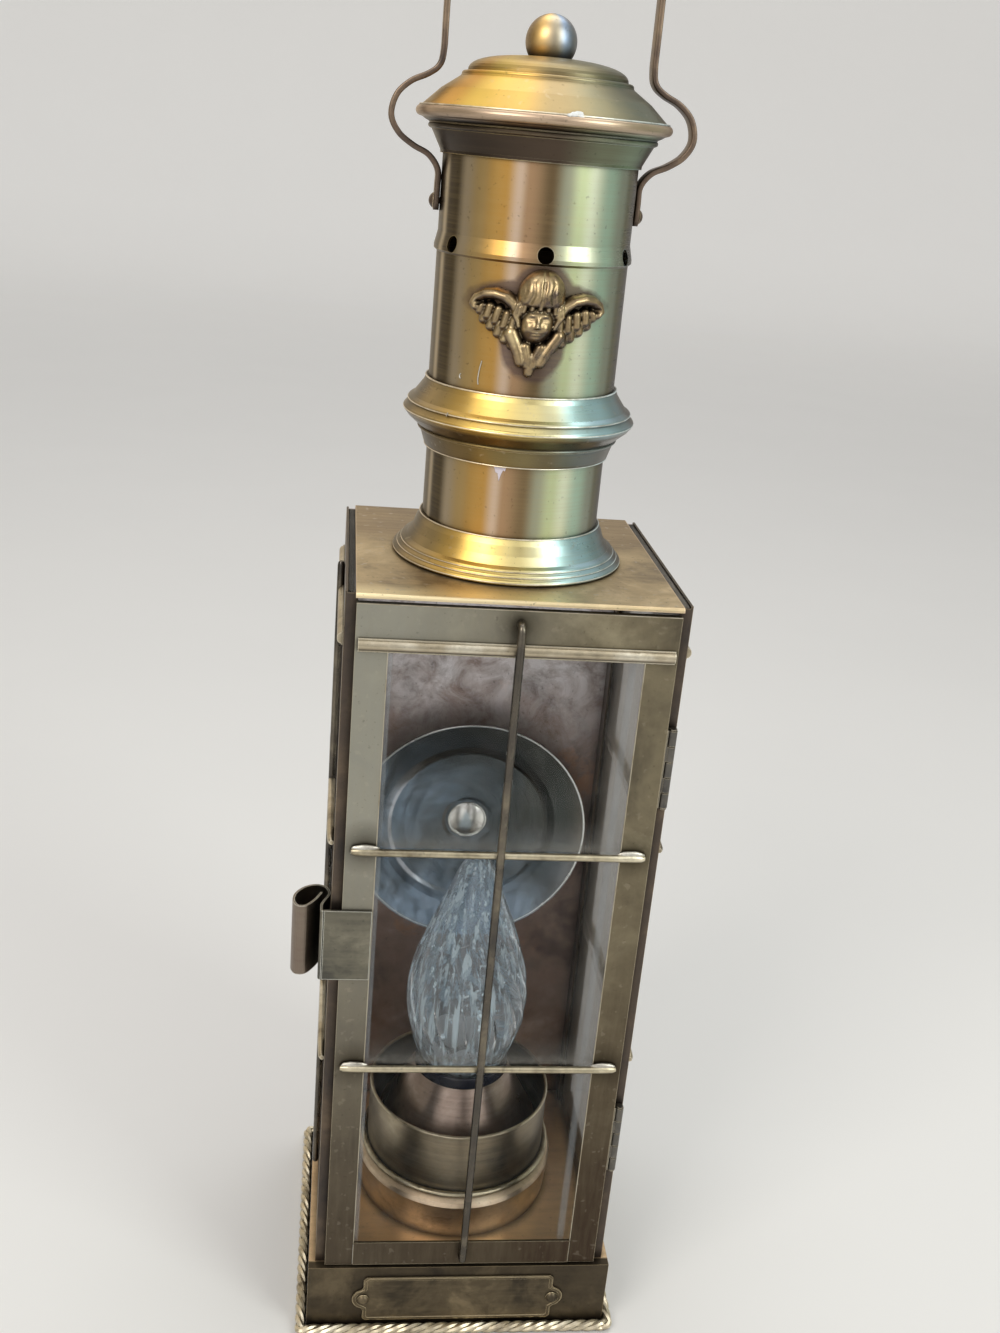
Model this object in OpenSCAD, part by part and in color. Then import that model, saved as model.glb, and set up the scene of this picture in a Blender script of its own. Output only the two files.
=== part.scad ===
// Hand lantern with a glazed cabin, a hinged front door, a round chimney and a bail handle.
// Millimetres. The origin is the middle of the base on the surface that it stands on.
// X runs to the right, Y to the back and Z up. The door is at the front, towards -Y.

/* [Base] */
// Height from the standing surface to the lantern floor
base_h = 31.3; // [27:0.1:44]
// How far the base stands out past the cabin at each side
base_side_ledge = 2.5; // [2:0.5:8]
// How far the base stands out past the cabin at the front and the back
base_front_ledge = 3.9; // [3.5:0.1:8]
// Sheet thickness of the base tray
base_sheet = 1; // [0.8:0.1:1.6]
// Diameter of the rope moulding round the foot
rope_d = 4.4; // [2.4:0.2:5]

/* [Name plate] */
// Width of the plate between its straight ends
plate_w = 74.6; // [60:0.2:84]
// Height of the plate
plate_h = 21.4; // [14:0.2:22]
// Thickness of the plate
plate_t = 0.8; // [0.5:0.1:1.5]
// Radius of the rounded ear at each end
plate_ear_r = 4.6; // [3:0.1:5]
// Head radius of the two plate rivets
plate_rivet_r = 2.4; // [1.5:0.1:2.6]
// Height of the plate's middle above the standing surface
plate_z = 16; // [15.7:0.1:18]

/* [Cabin] */
// Width over the side frames
cabin_w = 113; // [106:1:130]
// Depth from the front of the side frames to the outside of the back wall
cabin_d = 102.2; // [98:0.2:120]
// Height from the lantern floor to the top of the roof
cabin_h = 274.5; // [264:0.5:320]
// Sheet thickness of the side frames, the back wall and the roof
sheet = 0.8; // [0.6:0.1:1]
// Width of the side frames' uprights
side_stile = 12; // [9:0.5:18]
// Height of the side frames' top rail
side_top_rail = 20; // [14:0.5:28]
// Height of the side frames' bottom rail
side_bottom_rail = 11; // [8:0.5:18]
// Depth of the folded groove that holds a side glass
groove_depth = 6; // [4:0.5:9]
// Height of the folded lip along the roof's front and back edges
roof_lip = 1.5; // [1.4:0.1:5]
// How far the roof stands out past the cabin at the front and the back
roof_overhang = 2.8; // [1.5:0.1:4]

/* [Glass] */
// Thickness of the side glasses
side_glass_t = 2; // [1.5:0.1:2.4]
// Thickness of the door glass
door_glass_t = 1.4; // [1:0.1:1.5]
// Gap at each face of a sliding glass
glass_gap = 0.25; // [0.2:0.05:0.4]

/* [Door] */
// Step from the cabin's side face to the door's edge
door_inset = 3.7; // [3.6:0.1:5]
// Thickness of the door frame from front to back
door_t = 2.6; // [2.4:0.1:3.4]
// Sheet thickness of the door frame
door_sheet = 1; // [0.8:0.1:1]
// Gap under the door
door_bottom_gap = 0.8; // [0.5:0.1:2]
// Gap between the door and the roof's lip
door_top_gap = 1.6; // [0.6:0.1:4]
// Width of the door's uprights
door_stile = 10.6; // [9:0.1:16]
// Height of the door's top rail
door_top_rail = 16.3; // [13:0.1:24]
// Height of the door's bottom rail
door_bottom_rail = 10.6; // [8:0.1:16]
// Thickness of the strip over the bottom rail
rail_strip_t = 0.5; // [0.4:0.1:0.8]

/* [Guard bars] */
// Diameter of the level bars
bar_d = 2.6; // [1.6:0.1:2.8]
// Diameter of the upright bars
upright_d = 2.6; // [2:0.1:3.4]
// Height of the upper bar above the door's lower edge
upper_bar_z = 182.1; // [150:0.1:200]
// Height of the lower bar above the door's lower edge
lower_bar_z = 93.2; // [70:0.1:120]
// Half height of the half-round trim on the top rail
trim_r = 2.3; // [2:0.1:3.4]
// How far the half-round trim stands out
trim_out = 2; // [1.4:0.1:2]
// Distance from a level bar's end to the frame's edge
bar_end = 2; // [1:0.1:4]

/* [Hinges] */
// Length of a hinge
hinge_l = 29; // [20:0.5:36]
// Outer radius of the hinge barrel
barrel_r = 1.45; // [1.3:0.05:1.6]
// Radius of the hinge pin
pin_r = 0.7; // [0.5:0.05:0.8]
// Radial clearance of the hinge pin
pin_gap = 0.05; // [0.02:0.01:0.08]
// Height of the upper hinge's middle above the door's lower edge
upper_hinge_z = 216; // [160:0.5:236]
// Height of the lower hinge's middle above the door's lower edge
lower_hinge_z = 60.2; // [30:0.1:100]

/* [Latch] */
// Height of the latch clip
latch_h = 27.8; // [18:0.2:36]
// Height of the latch's middle above the door's lower edge
latch_z = 144.7; // [110:0.1:170]
// Sheet thickness of the latch clip
latch_t = 0.8; // [0.6:0.1:0.9]

/* [Chimney] */
// Outer radius of the lower tube
lower_tube_r = 30.6; // [26:0.1:31]
// Outer radius of the upper tube
upper_tube_r = 31.5; // [30.6:0.1:33]
// Wall thickness of both tubes
tube_wall = 0.8; // [0.6:0.1:1.2]
// Length of lower tube that shows between the roof and the collar
lower_tube_show = 37.6; // [28:0.2:60]
// Length of upper tube that shows between the collar and the cap
upper_tube_show = 70.2; // [64:0.2:100]
// How far the flange on the roof stands out past the lower tube
flange_out = 9.7; // [7.4:0.1:13]
// How far the collar's rim stands out past the upper tube
collar_out = 7.9; // [6.5:0.1:10.5]
// How far the cap's rim stands out past the upper tube
cap_out = 9.4; // [9:0.1:10.5]
// Radius of the step ring on the cap
cap_step_r = 26.6; // [20:0.1:30]
// Radius of the six vent holes
vent_r = 2.6; // [1.5:0.1:3.2]
// Height of the vent holes above the collar
vent_up = 43.6; // [42:0.1:46]
// Radius of the ball on the cap
ball_r = 8.1; // [7.2:0.1:10]
// Height of the ball's middle above the top of the cap
ball_up = 4.5; // [3:0.1:7]

/* [Bail] */
// Width of the bail's strap
strap_w = 6; // [3:0.1:7]
// Thickness of the bail's strap
strap_t = 1.8; // [1:0.1:2]
// Height of the bail's pivots above the collar
pivot_up = 55.6; // [54:0.1:58]
// Height of the arch's middle above the pivots
arch_up = 108.6; // [90:0.2:140]
// Half of the distance between the bail's upright legs
leg_x = 33.2; // [32:0.1:36]
// How far the bail's knees reach from the middle
knee_x = 48.5; // [47.5:0.1:52]
// Radius of the bail rivets' shanks
rivet_r = 1; // [0.8:0.1:1.3]

/* [Lamp] */
// Radius of the lamp's drum at its widest
drum_r = 40.4; // [39:0.1:44]
// Height of the drum
drum_h = 18.5; // [12:0.5:24]
// Outer radius of the cup
cup_r = 36.6; // [36:0.1:37.6]
// Height of the cup
cup_h = 27.7; // [22:0.1:31]
// Wall thickness of drum, cup and cone
lamp_sheet = 0.7; // [0.5:0.1:1]
// Outer radius of the dark collar under the bulb
socket_collar_r = 18.9; // [18.6:0.1:21]
// Radius of the bulb at its widest
bulb_r = 24.3; // [20:0.1:28]
// Length of the bulb's glass above the collar
bulb_h = 96; // [80:0.5:110]

/* [Reflector] */
// Radius of the reflector
reflector_r = 48.8; // [40:0.1:49.5]
// Depth of the reflector's dish
reflector_depth = 11.5; // [8:0.1:14]
// Height of the reflector's middle above the lantern floor
reflector_z = 141.3; // [120:0.1:170]
// Radius of the reflector's middle button
button_r = 7.4; // [4:0.1:9]

/* [Fits] */
// Gap between pieces that are soldered, pressed or screwed together
seat = 0.05; // [0.03:0.01:0.1]
// Gap between pieces that move past each other
run_gap = 0.3; // [0.25:0.05:0.4]

/* [Hidden] */
$fn = 96;

antique_brass = [0.55, 0.45, 0.24];
pale_brass = [0.80, 0.70, 0.45];
dark_brass = [0.36, 0.28, 0.17];
copper_brass = [0.62, 0.42, 0.22];
clear_glass = [0.75, 0.85, 0.88, 0.35];
nickel = [0.78, 0.78, 0.76];
dark_plastic = [0.16, 0.17, 0.19];

// Base and floor
base_w = cabin_w + 2 * base_side_ledge;
base_d = cabin_d + 2 * base_front_ledge;
floor_z = base_h;
rope_lift = 0.1;
bush_z = 14;
bush_r = 4.4;
bush_flange_r = 5.6;
bush_flange_t = 1.4;
bush_bore_r = 3.2;

// Cabin
side_x = cabin_w / 2;
front_y = -cabin_d / 2;
back_y = cabin_d / 2;
roof_top = floor_z + cabin_h;
roof_under = roof_top - sheet;
groove_w = side_glass_t + 2 * glass_gap;
roof_x = side_x - sheet - groove_w;
frame_back_y = back_y - sheet - seat;
roof_y = cabin_d / 2 + roof_overhang;
roof_round = 1.2;
side_glass_drop = 0.6;

// Door
door_w = cabin_w - 2 * door_inset;
door_back_y = front_y - run_gap;
door_front_y = door_back_y - door_t;
door_z = floor_z + door_bottom_gap;
door_top = roof_top - roof_lip - door_top_gap;
glass_front_y = door_front_y + door_sheet + seat;
clip_t = 0.4;
clip_w = 8;
clip_reach = 4;
clip_end_z = 28;

// Guard bars, the same on the door and on both sides
upper_z = door_z + upper_bar_z;
lower_z = door_z + lower_bar_z;
trim_lift = 0.1;
trim_z = door_top - door_top_rail + trim_r + trim_lift;
upright_top_gap = 3.1;
upright_bottom_gap = 3.4;
upright_top = door_top - upright_top_gap;
upright_bottom = door_z + upright_bottom_gap;
bar_y = door_front_y - seat - bar_d / 2;
upright_y = bar_y - bar_d / 2 - seat - upright_d / 2;
bar_x = side_x + seat + bar_d / 2;
side_upright_x = side_x + seat + upright_d / 2;
side_mid_y = (front_y + frame_back_y) / 2;
foot_r = upright_d / 2;

// Hinges
leaf_t = 0.45;
barrel_gap = 0.2;
knuckles = 5;
knuckle_gap = 0.3;
knuckle_l = hinge_l / knuckles;
barrel_y = front_y - seat - leaf_t - barrel_gap - barrel_r;
barrel_x = door_w / 2 + seat + leaf_t + barrel_gap + barrel_r;
pin_head_t = 0.5;
hinge_zs = [door_z + lower_hinge_z, door_z + upper_hinge_z];

// Latch: points are [distance out from the cabin's side, distance behind the door's front]
latch_mid_z = door_z + latch_z;
latch_x_in = door_w / 2 - door_stile + 0.2;
latch_corner = 3.1;
latch_bump = run_gap + latch_t / 2 + 0.05;
tongue_bend = 0.6;
tongue_start = latch_corner - tongue_bend + 0.25;
tongue_line = [
    [tongue_start + tongue_bend, tongue_bend - seat - latch_t / 2], [latch_corner + 0.25, 2],
    [latch_corner + 0.1, 4], [latch_corner - 1, 7], [latch_bump, 10.4], [latch_bump + 0.5, 13.6], [2.9, 15.9],
    [5.8, 16.6], [9.4, 14.9], [12.3, 10.9], [13, 6.2], [11.5, 2.8], [8.5, 2.9], [5.4, 7.2], [3.5, 11.6]
];

// Chimney: rims, then heights above the roof
flange_r = lower_tube_r + flange_out;
collar_r = upper_tube_r + collar_out;
cap_r = upper_tube_r + cap_out;
collar_z = roof_top + lower_tube_show;
collar_h = 23.2;
collar_rim_r = 1;
collar_rim_up = 12.4;
collar_top = collar_z + collar_h;
cap_z = collar_top + upper_tube_show;
tube_seat = 2.5;
lower_tube_end = collar_rim_up - 3.4;
vent_z = collar_top + vent_up;
ornament_up = 23.4;
vents = 6;
band_h = 6.4;
band_out = 1;
flange_h = 13.8;
rim_r = 1.65;
rim_up = 12;
rim_end = 60;
skirt_h = rim_up + rim_r * sin(rim_end);
dome_z = cap_z + skirt_h + seat;
step_up = 10.2;
dome_up = 16.9;
dome_t = 0.9;
dome_power = 2.5;
dome_top = dome_z + dome_up;
ball_z = dome_top + ball_up;
finial_r = 1.5;

// Bail
pivot_z = collar_top + pivot_up;
strap_in = upper_tube_r + run_gap;
strap_x = strap_in + strap_t / 2;
arch_z = pivot_z + arch_up;
eye_r = 3;
eye_gap = 0.06;
rivet_head_r = 2.4;
rivet_head_t = 1.4;

// Lamp, in heights above the lantern floor
drum_top = floor_z + seat + drum_h;
drum_top_r = 37.4;
drum_lean = 1.2;
bead_r = 1.2;
bead_ring_r = cup_r + seat + bead_r;
cup_z = drum_top + seat;
cup_top = cup_z + cup_h;
cone_low = 4.5;
cone_show = 9.5;
cone_z = cup_z + cone_low;
cone_top = cup_top + cone_show;
cone_top_r = socket_collar_r + 0.2;
collar_sink = 1.5;
collar_show = 4.8;
collar_low = cone_top - collar_sink;
collar_high = cone_top + collar_show;
nipple_r = 5;
nipple_bore_r = 3.6;
nut_r = 8;
nut_h = 3.4;
nipple_low = floor_z - 12;
socket_low = cup_z + lamp_sheet + seat + nut_h + seat;
socket_r = 17.2;
shell_r = 14;
shell_t = 0.4;
shell_drop = 24.3;
shell_low = collar_low - shell_drop;
bulb_cap_r = 13.2;
bulb_lift = 0.2;
bulb_cap_low = shell_low + 2;
bulb_low = cone_top + bulb_lift;
bulb_wall = 0.8;
bulb_cap_t = 0.5;
neck_r = bulb_cap_r - bulb_cap_t - seat;
stem_r = 3.4;
stem_h = 26;
mount_r = 13.4;
mount_h = 14;
filament_x = 7.6;
filament_z = bulb_low + 49;

// Reflector
reflector_mid_z = floor_z + reflector_z;
wall_inner_y = back_y - sheet;
reflector_back_y = wall_inner_y - seat;
reflector_t = 0.6;
reflector_step = 0.66;
screw_r = 1.5;

// Bulb outline as [share of the widest radius, share of the height]
bulb_line = [
    [0.54, 0], [0.62, 0.03], [0.765, 0.075], [0.897, 0.17], [0.985, 0.265], [1, 0.34], [0.985, 0.41],
    [0.935, 0.48], [0.868, 0.545], [0.737, 0.645], [0.584, 0.745], [0.432, 0.84], [0.30, 0.93],
    [0.19, 0.978], [0.08, 0.998]
];

function turned(points) = [for (i = [len(points) - 1 : -1 : 0]) points[i]];
function arc(cx, cy, r, from, to, steps) =
    [for (i = [0 : steps]) let (a = from + (to - from) * i / steps) [cx + r * cos(a), cy + r * sin(a)]];

// Smooth line through hand-set points, with a few steps between each two
function mix(a, b, c, d, t) =
    0.5 * (2 * b + (c - a) * t + (2 * a - 5 * b + 4 * c - d) * t * t + (3 * b - a - 3 * c + d) * t * t * t);
function smooth_line(p, steps) = concat(
    [for (i = [0 : len(p) - 2], s = [0 : steps - 1])
        mix(p[max(i - 1, 0)], p[i], p[i + 1], p[min(i + 2, len(p) - 1)], s / steps)],
    [p[len(p) - 1]]
);
function along(p, i) = p[min(i + 1, len(p) - 1)] - p[max(i - 1, 0)];
function beside(p, i, away) = let (d = along(p, i)) p[i] + away * [-d[1], d[0]] / norm(d);
function ribbon(p, t) = concat(
    [for (i = [0 : len(p) - 1]) beside(p, i, t / 2)],
    [for (i = [len(p) - 1 : -1 : 0]) beside(p, i, -t / 2)]
);

// Wall of a turned piece: the outer line and the same line moved inwards
module turned_wall(line, t, bore) {
    rotate_extrude()
        polygon(concat(line, turned([for (p = line) [max(p[0] - t, bore), p[1]]])));
}

module pipe(r, wall, z0, z1) {
    translate([0, 0, z0])
        difference() {
            cylinder(r = r, h = z1 - z0);
            translate([0, 0, -1])
                cylinder(r = r - wall, h = z1 - z0 + 2);
        }
}

module disc(r, z0, z1) {
    translate([0, 0, z0])
        cylinder(r = r, h = z1 - z0);
}

module box(x0, x1, y0, y1, z0, z1) {
    translate([x0, y0, z0])
        cube([x1 - x0, y1 - y0, z1 - z0]);
}

// Dome head of a rivet, flat side on the origin and pointing along +Z
module rivet_head(r, h) {
    ball = (r * r + h * h) / (2 * h);
    intersection() {
        translate([0, 0, h - ball])
            sphere(r = ball);
        cylinder(r = r + 0.5, h = h + 0.5);
    }
}

module base_tray() {
    color(antique_brass)
        difference() {
            box(-base_w / 2, base_w / 2, -base_d / 2, base_d / 2, 0, base_h);
            box(-base_w / 2 + base_sheet, base_w / 2 - base_sheet, -base_d / 2 + base_sheet,
                base_d / 2 - base_sheet, -1, base_h - base_sheet);
            disc(nipple_r + seat, base_h - base_sheet - 1, base_h + 1);
            translate([0, base_d / 2 - base_sheet - 1, bush_z])
                rotate([-90, 0, 0])
                    cylinder(r = bush_r + seat, h = base_sheet + 2);
            for (x = [-plate_w / 2, plate_w / 2])
                translate([x, -base_d / 2 + base_sheet + 1, plate_z])
                    rotate([90, 0, 0])
                        cylinder(r = screw_r / 2 + seat, h = base_sheet + 2);
        }
}

module base_bottom_plate() {
    color(dark_brass)
        box(-base_w / 2 + base_sheet + seat, base_w / 2 - base_sheet - seat,
            -base_d / 2 + base_sheet + seat, base_d / 2 - base_sheet - seat, 0, base_sheet);
}

module rope_trim() {
    rx = base_w / 2 + seat + rope_d / 2;
    ry = base_d / 2 + seat + rope_d / 2;
    color(pale_brass)
        translate([0, 0, rope_d / 2 + rope_lift]) {
            for (s = [-1, 1]) {
                translate([-rx, s * ry, 0])
                    rotate([0, 90, 0])
                        cylinder(d = rope_d, h = 2 * rx);
                translate([s * rx, -ry, 0])
                    rotate([-90, 0, 0])
                        cylinder(d = rope_d, h = 2 * ry);
            }
            for (sx = [-1, 1], sy = [-1, 1])
                translate([sx * rx, sy * ry, 0])
                    sphere(d = rope_d);
        }
}

module name_plate() {
    color(antique_brass)
        translate([0, -base_d / 2 - seat, plate_z])
            rotate([90, 0, 0])
                difference() {
                    union() {
                        translate([-plate_w / 2, -plate_h / 2, 0])
                            cube([plate_w, plate_h, plate_t]);
                        for (s = [-1, 1])
                            translate([s * plate_w / 2, 0, 0])
                                cylinder(r = plate_ear_r, h = plate_t);
                    }
                    for (s = [-1, 1])
                        translate([s * plate_w / 2, 0, -1])
                            cylinder(r = screw_r / 2 + seat, h = plate_t + 2);
                }
}

module name_plate_rivets() {
    shank = base_sheet + seat + plate_t + 1;
    head_h = 1.5;
    color(antique_brass)
        for (s = [-1, 1])
            translate([s * plate_w / 2, -base_d / 2 - seat - plate_t - seat, plate_z])
                rotate([90, 0, 0]) {
                    rivet_head(plate_rivet_r, head_h);
                    translate([0, 0, -shank])
                        cylinder(r = screw_r / 2, h = shank + 0.1);
                }
}

module cord_bush() {
    color(dark_plastic)
        translate([0, base_d / 2, bush_z])
            rotate([-90, 0, 0])
                difference() {
                    union() {
                        translate([0, 0, seat])
                            cylinder(r = bush_flange_r, h = bush_flange_t);
                        translate([0, 0, -base_sheet - seat - bush_flange_t])
                            cylinder(r = bush_flange_r, h = bush_flange_t);
                        translate([0, 0, -base_sheet - seat - bush_flange_t])
                            cylinder(r = bush_r, h = base_sheet + 2 * (seat + bush_flange_t));
                    }
                    translate([0, 0, -base_sheet - bush_flange_t - 1])
                        cylinder(r = bush_bore_r, h = base_sheet + 2 * bush_flange_t + 2);
                }
}

module back_wall() {
    color(dark_brass)
        difference() {
            box(-side_x, side_x, wall_inner_y, back_y, floor_z + seat, roof_under - seat);
            translate([0, back_y + 1, reflector_mid_z])
                rotate([90, 0, 0])
                    cylinder(r = screw_r + seat, h = sheet + 2);
        }
}

// Right side frame: sheet folded into a groove at the front and at the back
module side_frame() {
    low = floor_z + seat;
    lip_top = roof_under - seat;
    difference() {
        union() {
            box(side_x - sheet, side_x, front_y, frame_back_y, low, roof_top);
            box(roof_x - sheet, side_x, front_y, front_y + sheet, low, lip_top);
            box(roof_x - sheet, side_x, frame_back_y - sheet, frame_back_y, low, lip_top);
            box(roof_x - sheet, roof_x, front_y, front_y + sheet + groove_depth, low, lip_top);
            box(roof_x - sheet, roof_x, frame_back_y - sheet - groove_depth, frame_back_y, low, lip_top);
        }
        box(side_x - sheet - 1, side_x + 1, front_y + side_stile, frame_back_y - side_stile,
            floor_z + side_bottom_rail, roof_top - side_top_rail);
    }
}

module right_side_frame() {
    color(dark_brass)
        side_frame();
}

module left_side_frame() {
    color(dark_brass)
        mirror([1, 0, 0])
            side_frame();
}

module side_glass() {
    mid = roof_x + groove_w / 2;
    box(mid - side_glass_t / 2, mid + side_glass_t / 2, front_y + sheet + run_gap,
        frame_back_y - sheet - run_gap, floor_z + run_gap, roof_top - side_glass_drop);
}

module right_side_glass() {
    color(clear_glass)
        side_glass();
}

module left_side_glass() {
    color(clear_glass)
        mirror([1, 0, 0])
            side_glass();
}

// Round bar along Y on a side frame
module side_bar(z) {
    l = frame_back_y - front_y - 2 * bar_end;
    translate([bar_x, front_y + bar_end, z])
        rotate([-90, 0, 0])
            cylinder(d = bar_d, h = l);
}

// Half-round trim: the part of a round bar that stands out of its face
module half_round(l) {
    bar = (trim_r * trim_r + trim_out * trim_out) / (2 * trim_out);
    intersection() {
        translate([0, 0, trim_out - bar])
            rotate([-90, 0, 0])
                cylinder(r = bar, h = l);
        translate([-trim_r - 1, 0, 0])
            cube([2 * trim_r + 2, l, trim_out + 1]);
    }
}

// Level bars and trim of a side, each in two lengths that meet the upright bar
module side_level_bars() {
    room = upright_d / 2 + seat;
    difference() {
        union() {
            side_bar(lower_z);
            side_bar(upper_z);
            translate([side_x + seat, front_y + bar_end, trim_z])
                rotate([0, 90, 0])
                    half_round(frame_back_y - front_y - 2 * bar_end);
        }
        box(side_x - 1, side_x + bar_d + upright_d, side_mid_y - room, side_mid_y + room,
            upright_bottom, roof_top);
    }
}

module right_level_bars() {
    color(pale_brass)
        side_level_bars();
}

module left_level_bars() {
    color(pale_brass)
        mirror([1, 0, 0])
            side_level_bars();
}

module side_upright() {
    translate([side_upright_x, side_mid_y, upright_bottom])
        cylinder(d = upright_d, h = upright_top - upright_bottom);
}

module right_upright_bar() {
    color(pale_brass)
        side_upright();
}

module left_upright_bar() {
    color(pale_brass)
        mirror([1, 0, 0])
            side_upright();
}

// Roof: sheet with a rounded, folded lip along the front and the back
module roof_plate() {
    low = roof_top - roof_lip;
    outer = concat(
        [[-roof_y, low]],
        arc(-roof_y + roof_round, roof_top - roof_round, roof_round, 180, 90, 8),
        arc(roof_y - roof_round, roof_top - roof_round, roof_round, 90, 0, 8),
        [[roof_y, low], [roof_y - sheet, low]]
    );
    inner_round = roof_round - sheet;
    inner = concat(
        arc(roof_y - roof_round, roof_top - roof_round, inner_round, 0, 90, 8),
        arc(-roof_y + roof_round, roof_top - roof_round, inner_round, 90, 180, 8),
        [[-roof_y + sheet, low]]
    );
    color(antique_brass)
        difference() {
            translate([-roof_x + seat, 0, 0])
                rotate([90, 0, 90])
                    linear_extrude(height = 2 * (roof_x - seat))
                        polygon(concat(outer, inner));
            disc(lower_tube_r + seat, low - 1, roof_top + 1);
        }
}

module chimney_flange() {
    r0 = lower_tube_r + seat;
    line = concat(
        arc(flange_r - 1, 1, 1, -70, 75, 6),
        arc(flange_r - 2.3, 2.6, 0.9, -10, 80, 5),
        arc(flange_r - 3.6, 4.1, 0.9, -10, 80, 5),
        [[flange_r - 4.7, 5.6], [flange_r - 6.6, 8.4], [r0 + 1.9, flange_h - 2.2], [r0 + 0.9, flange_h - 0.5],
            [r0 + 0.7, flange_h]]
    );
    color(pale_brass)
        translate([0, 0, roof_top + seat])
            turned_wall(line, 0.9, r0);
}

module lower_chimney_tube() {
    color(antique_brass)
        pipe(lower_tube_r, tube_wall, roof_top - roof_lip, collar_z + lower_tube_end);
}

module chimney_collar() {
    r0 = lower_tube_r + seat;
    r1 = upper_tube_r + seat;
    lower_line = concat(
        [[r0 + 0.8, 0], [r0 + 1.2, 1], [r0 + 2.7, 5.6]],
        arc(r0 + 3, 6.3, 0.6, -60, 60, 4),
        [[collar_r - 1.5, collar_rim_up - 2.2]],
        arc(collar_r - collar_rim_r, collar_rim_up, collar_rim_r, -65, 65, 6)
    );
    upper_line = concat(
        arc(collar_r - 2.1, collar_rim_up + 2.9, 0.7, -60, 60, 4),
        [[collar_r - 3.1, 16.7], [collar_r - 4.8, 19], [r1 + 1.5, collar_h - 2], [r1 + 0.8, collar_h - 0.4],
            [r1 + 0.7, collar_h]]
    );
    color(pale_brass)
        translate([0, 0, collar_z])
            rotate_extrude()
                polygon(concat(
                    lower_line, upper_line,
                    turned([for (p = upper_line) [max(p[0] - 0.9, r1), p[1]]]),
                    turned([for (p = lower_line) [max(p[0] - 0.9, r0), p[1]]])
                ));
}

module upper_chimney_tube() {
    low = collar_z + collar_rim_up + 2.6;
    high = cap_z + tube_seat;
    band = [
        [upper_tube_r, vent_z - band_h / 2], [upper_tube_r + band_out, vent_z - band_h * 3 / 8],
        [upper_tube_r + band_out, vent_z - band_h * 3 / 16], [upper_tube_r, vent_z + band_h / 2]
    ];
    color(antique_brass)
        difference() {
            turned_wall(concat([[upper_tube_r, low]], band, [[upper_tube_r, high]]), tube_wall, 0);
            for (i = [0 : vents - 1])
                rotate([0, 0, i * 360 / vents])
                    translate([0, -upper_tube_r - band_out - 1, vent_z])
                        rotate([-90, 0, 0])
                            cylinder(r = vent_r, h = tube_wall + band_out + 3);
            for (s = [-1, 1])
                translate([s * (upper_tube_r - tube_wall - 2), 0, pivot_z])
                    rotate([0, s * 90, 0])
                        cylinder(r = rivet_r + seat, h = tube_wall + 4);
        }
}

// Drop of cast relief between two points on the front of the upper tube
module lobe(a, b, ra, rb) {
    hull()
        for (p = [[a, ra], [b, rb]]) {
            x = p[0][0];
            translate([x, -sqrt(upper_tube_r * upper_tube_r - x * x), p[0][1]])
                sphere(r = p[1], $fn = 16);
        }
}

// Winged child's head in relief on the front of the upper tube
module cherub_ornament() {
    mid = collar_top + ornament_up;
    color(pale_brass)
        difference() {
            translate([0, 0, mid])
                union() {
                    lobe([0, 8.8], [0, 5], 7.2, 6.8);
                    lobe([0, 2], [0, -1.6], 5.6, 4.8);
                    for (s = [-1, 1]) {
                        lobe([s * 5, 5.4], [s * 18.6, 9.6], 3.2, 2.8);
                        lobe([s * 6, 2.2], [s * 18, 6], 2.4, 1.6);
                        lobe([s * 6, -0.8], [s * 14.6, 1.6], 2.3, 1.6);
                        lobe([s * 5, -4], [s * 10.6, -3.2], 2.2, 1.6);
                        lobe([s * 2.4, -8], [s * 6.4, -8], 2.6, 2.2);
                    }
                    lobe([0, -6], [0, -15.6], 3, 1.8);
                }
            disc(upper_tube_r + seat, mid - 30, mid + 30);
        }
}

// Flared skirt with a bead, rolled over at the rim
module cap_skirt() {
    r0 = upper_tube_r + seat;
    line = concat(
        [[r0 + 0.8, 0], [r0 + 0.9, 1], [r0 + 4, 6.9]],
        arc(r0 + 4.4, 7.9, 0.8, -70, 60, 5),
        [[r0 + 5, 9], [cap_r - 3.2, 9.5], [cap_r - 2.2, rim_up - rim_r - 0.2]],
        arc(cap_r - rim_r, rim_up, rim_r, -80, rim_end, 8)
    );
    color(antique_brass)
        translate([0, 0, cap_z])
            turned_wall(line, 0.8, r0);
}

// Cap: a cone that bulges a little, a step ring and a flat-topped crown
module cap_dome() {
    cone_r = cap_r - rim_r;
    crown_up = step_up + 0.85;
    bend = 2 / dome_power;
    line = concat(
        [[cone_r + 0.8, 0], [cone_r, 0.2], [(cone_r + cap_step_r) / 2 + 0.4, step_up / 2 + 0.5],
            [cap_step_r + 0.9, step_up - 0.7]],
        arc(cap_step_r - 0.3, step_up, 0.9, -10, 80, 5),
        [for (i = [0 : 12]) let (a = 90 * i / 12)
            [(cap_step_r - 1.2) * pow(cos(a), bend), crown_up + (dome_up - crown_up) * pow(sin(a), bend)]]
    );
    color(antique_brass)
        translate([0, 0, dome_z])
            difference() {
                rotate_extrude()
                    polygon(concat(line, turned([for (p = line) [max(p[0] - 0.6, 0), p[1] - dome_t]])));
                cylinder(r = finial_r + seat, h = dome_up + 2);
                translate([0, 0, -dome_t - 1])
                    cylinder(r = cap_r + 1, h = dome_t + 1);
            }
}

// Ball with a flat foot that sits on the top of the cap
module finial_ball() {
    color(antique_brass)
        difference() {
            translate([0, 0, ball_z])
                sphere(r = ball_r);
            disc(ball_r + 1, ball_z - ball_r - 1, dome_top + seat);
            disc(finial_r + seat, dome_top - 2, ball_z);
        }
}

module finial_screw() {
    head_top = dome_top - dome_t - 2 * seat;
    color(dark_brass)
        union() {
            disc(finial_r, head_top - 1, ball_z - 1);
            disc(3, head_top - 1.6, head_top);
        }
}

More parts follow.
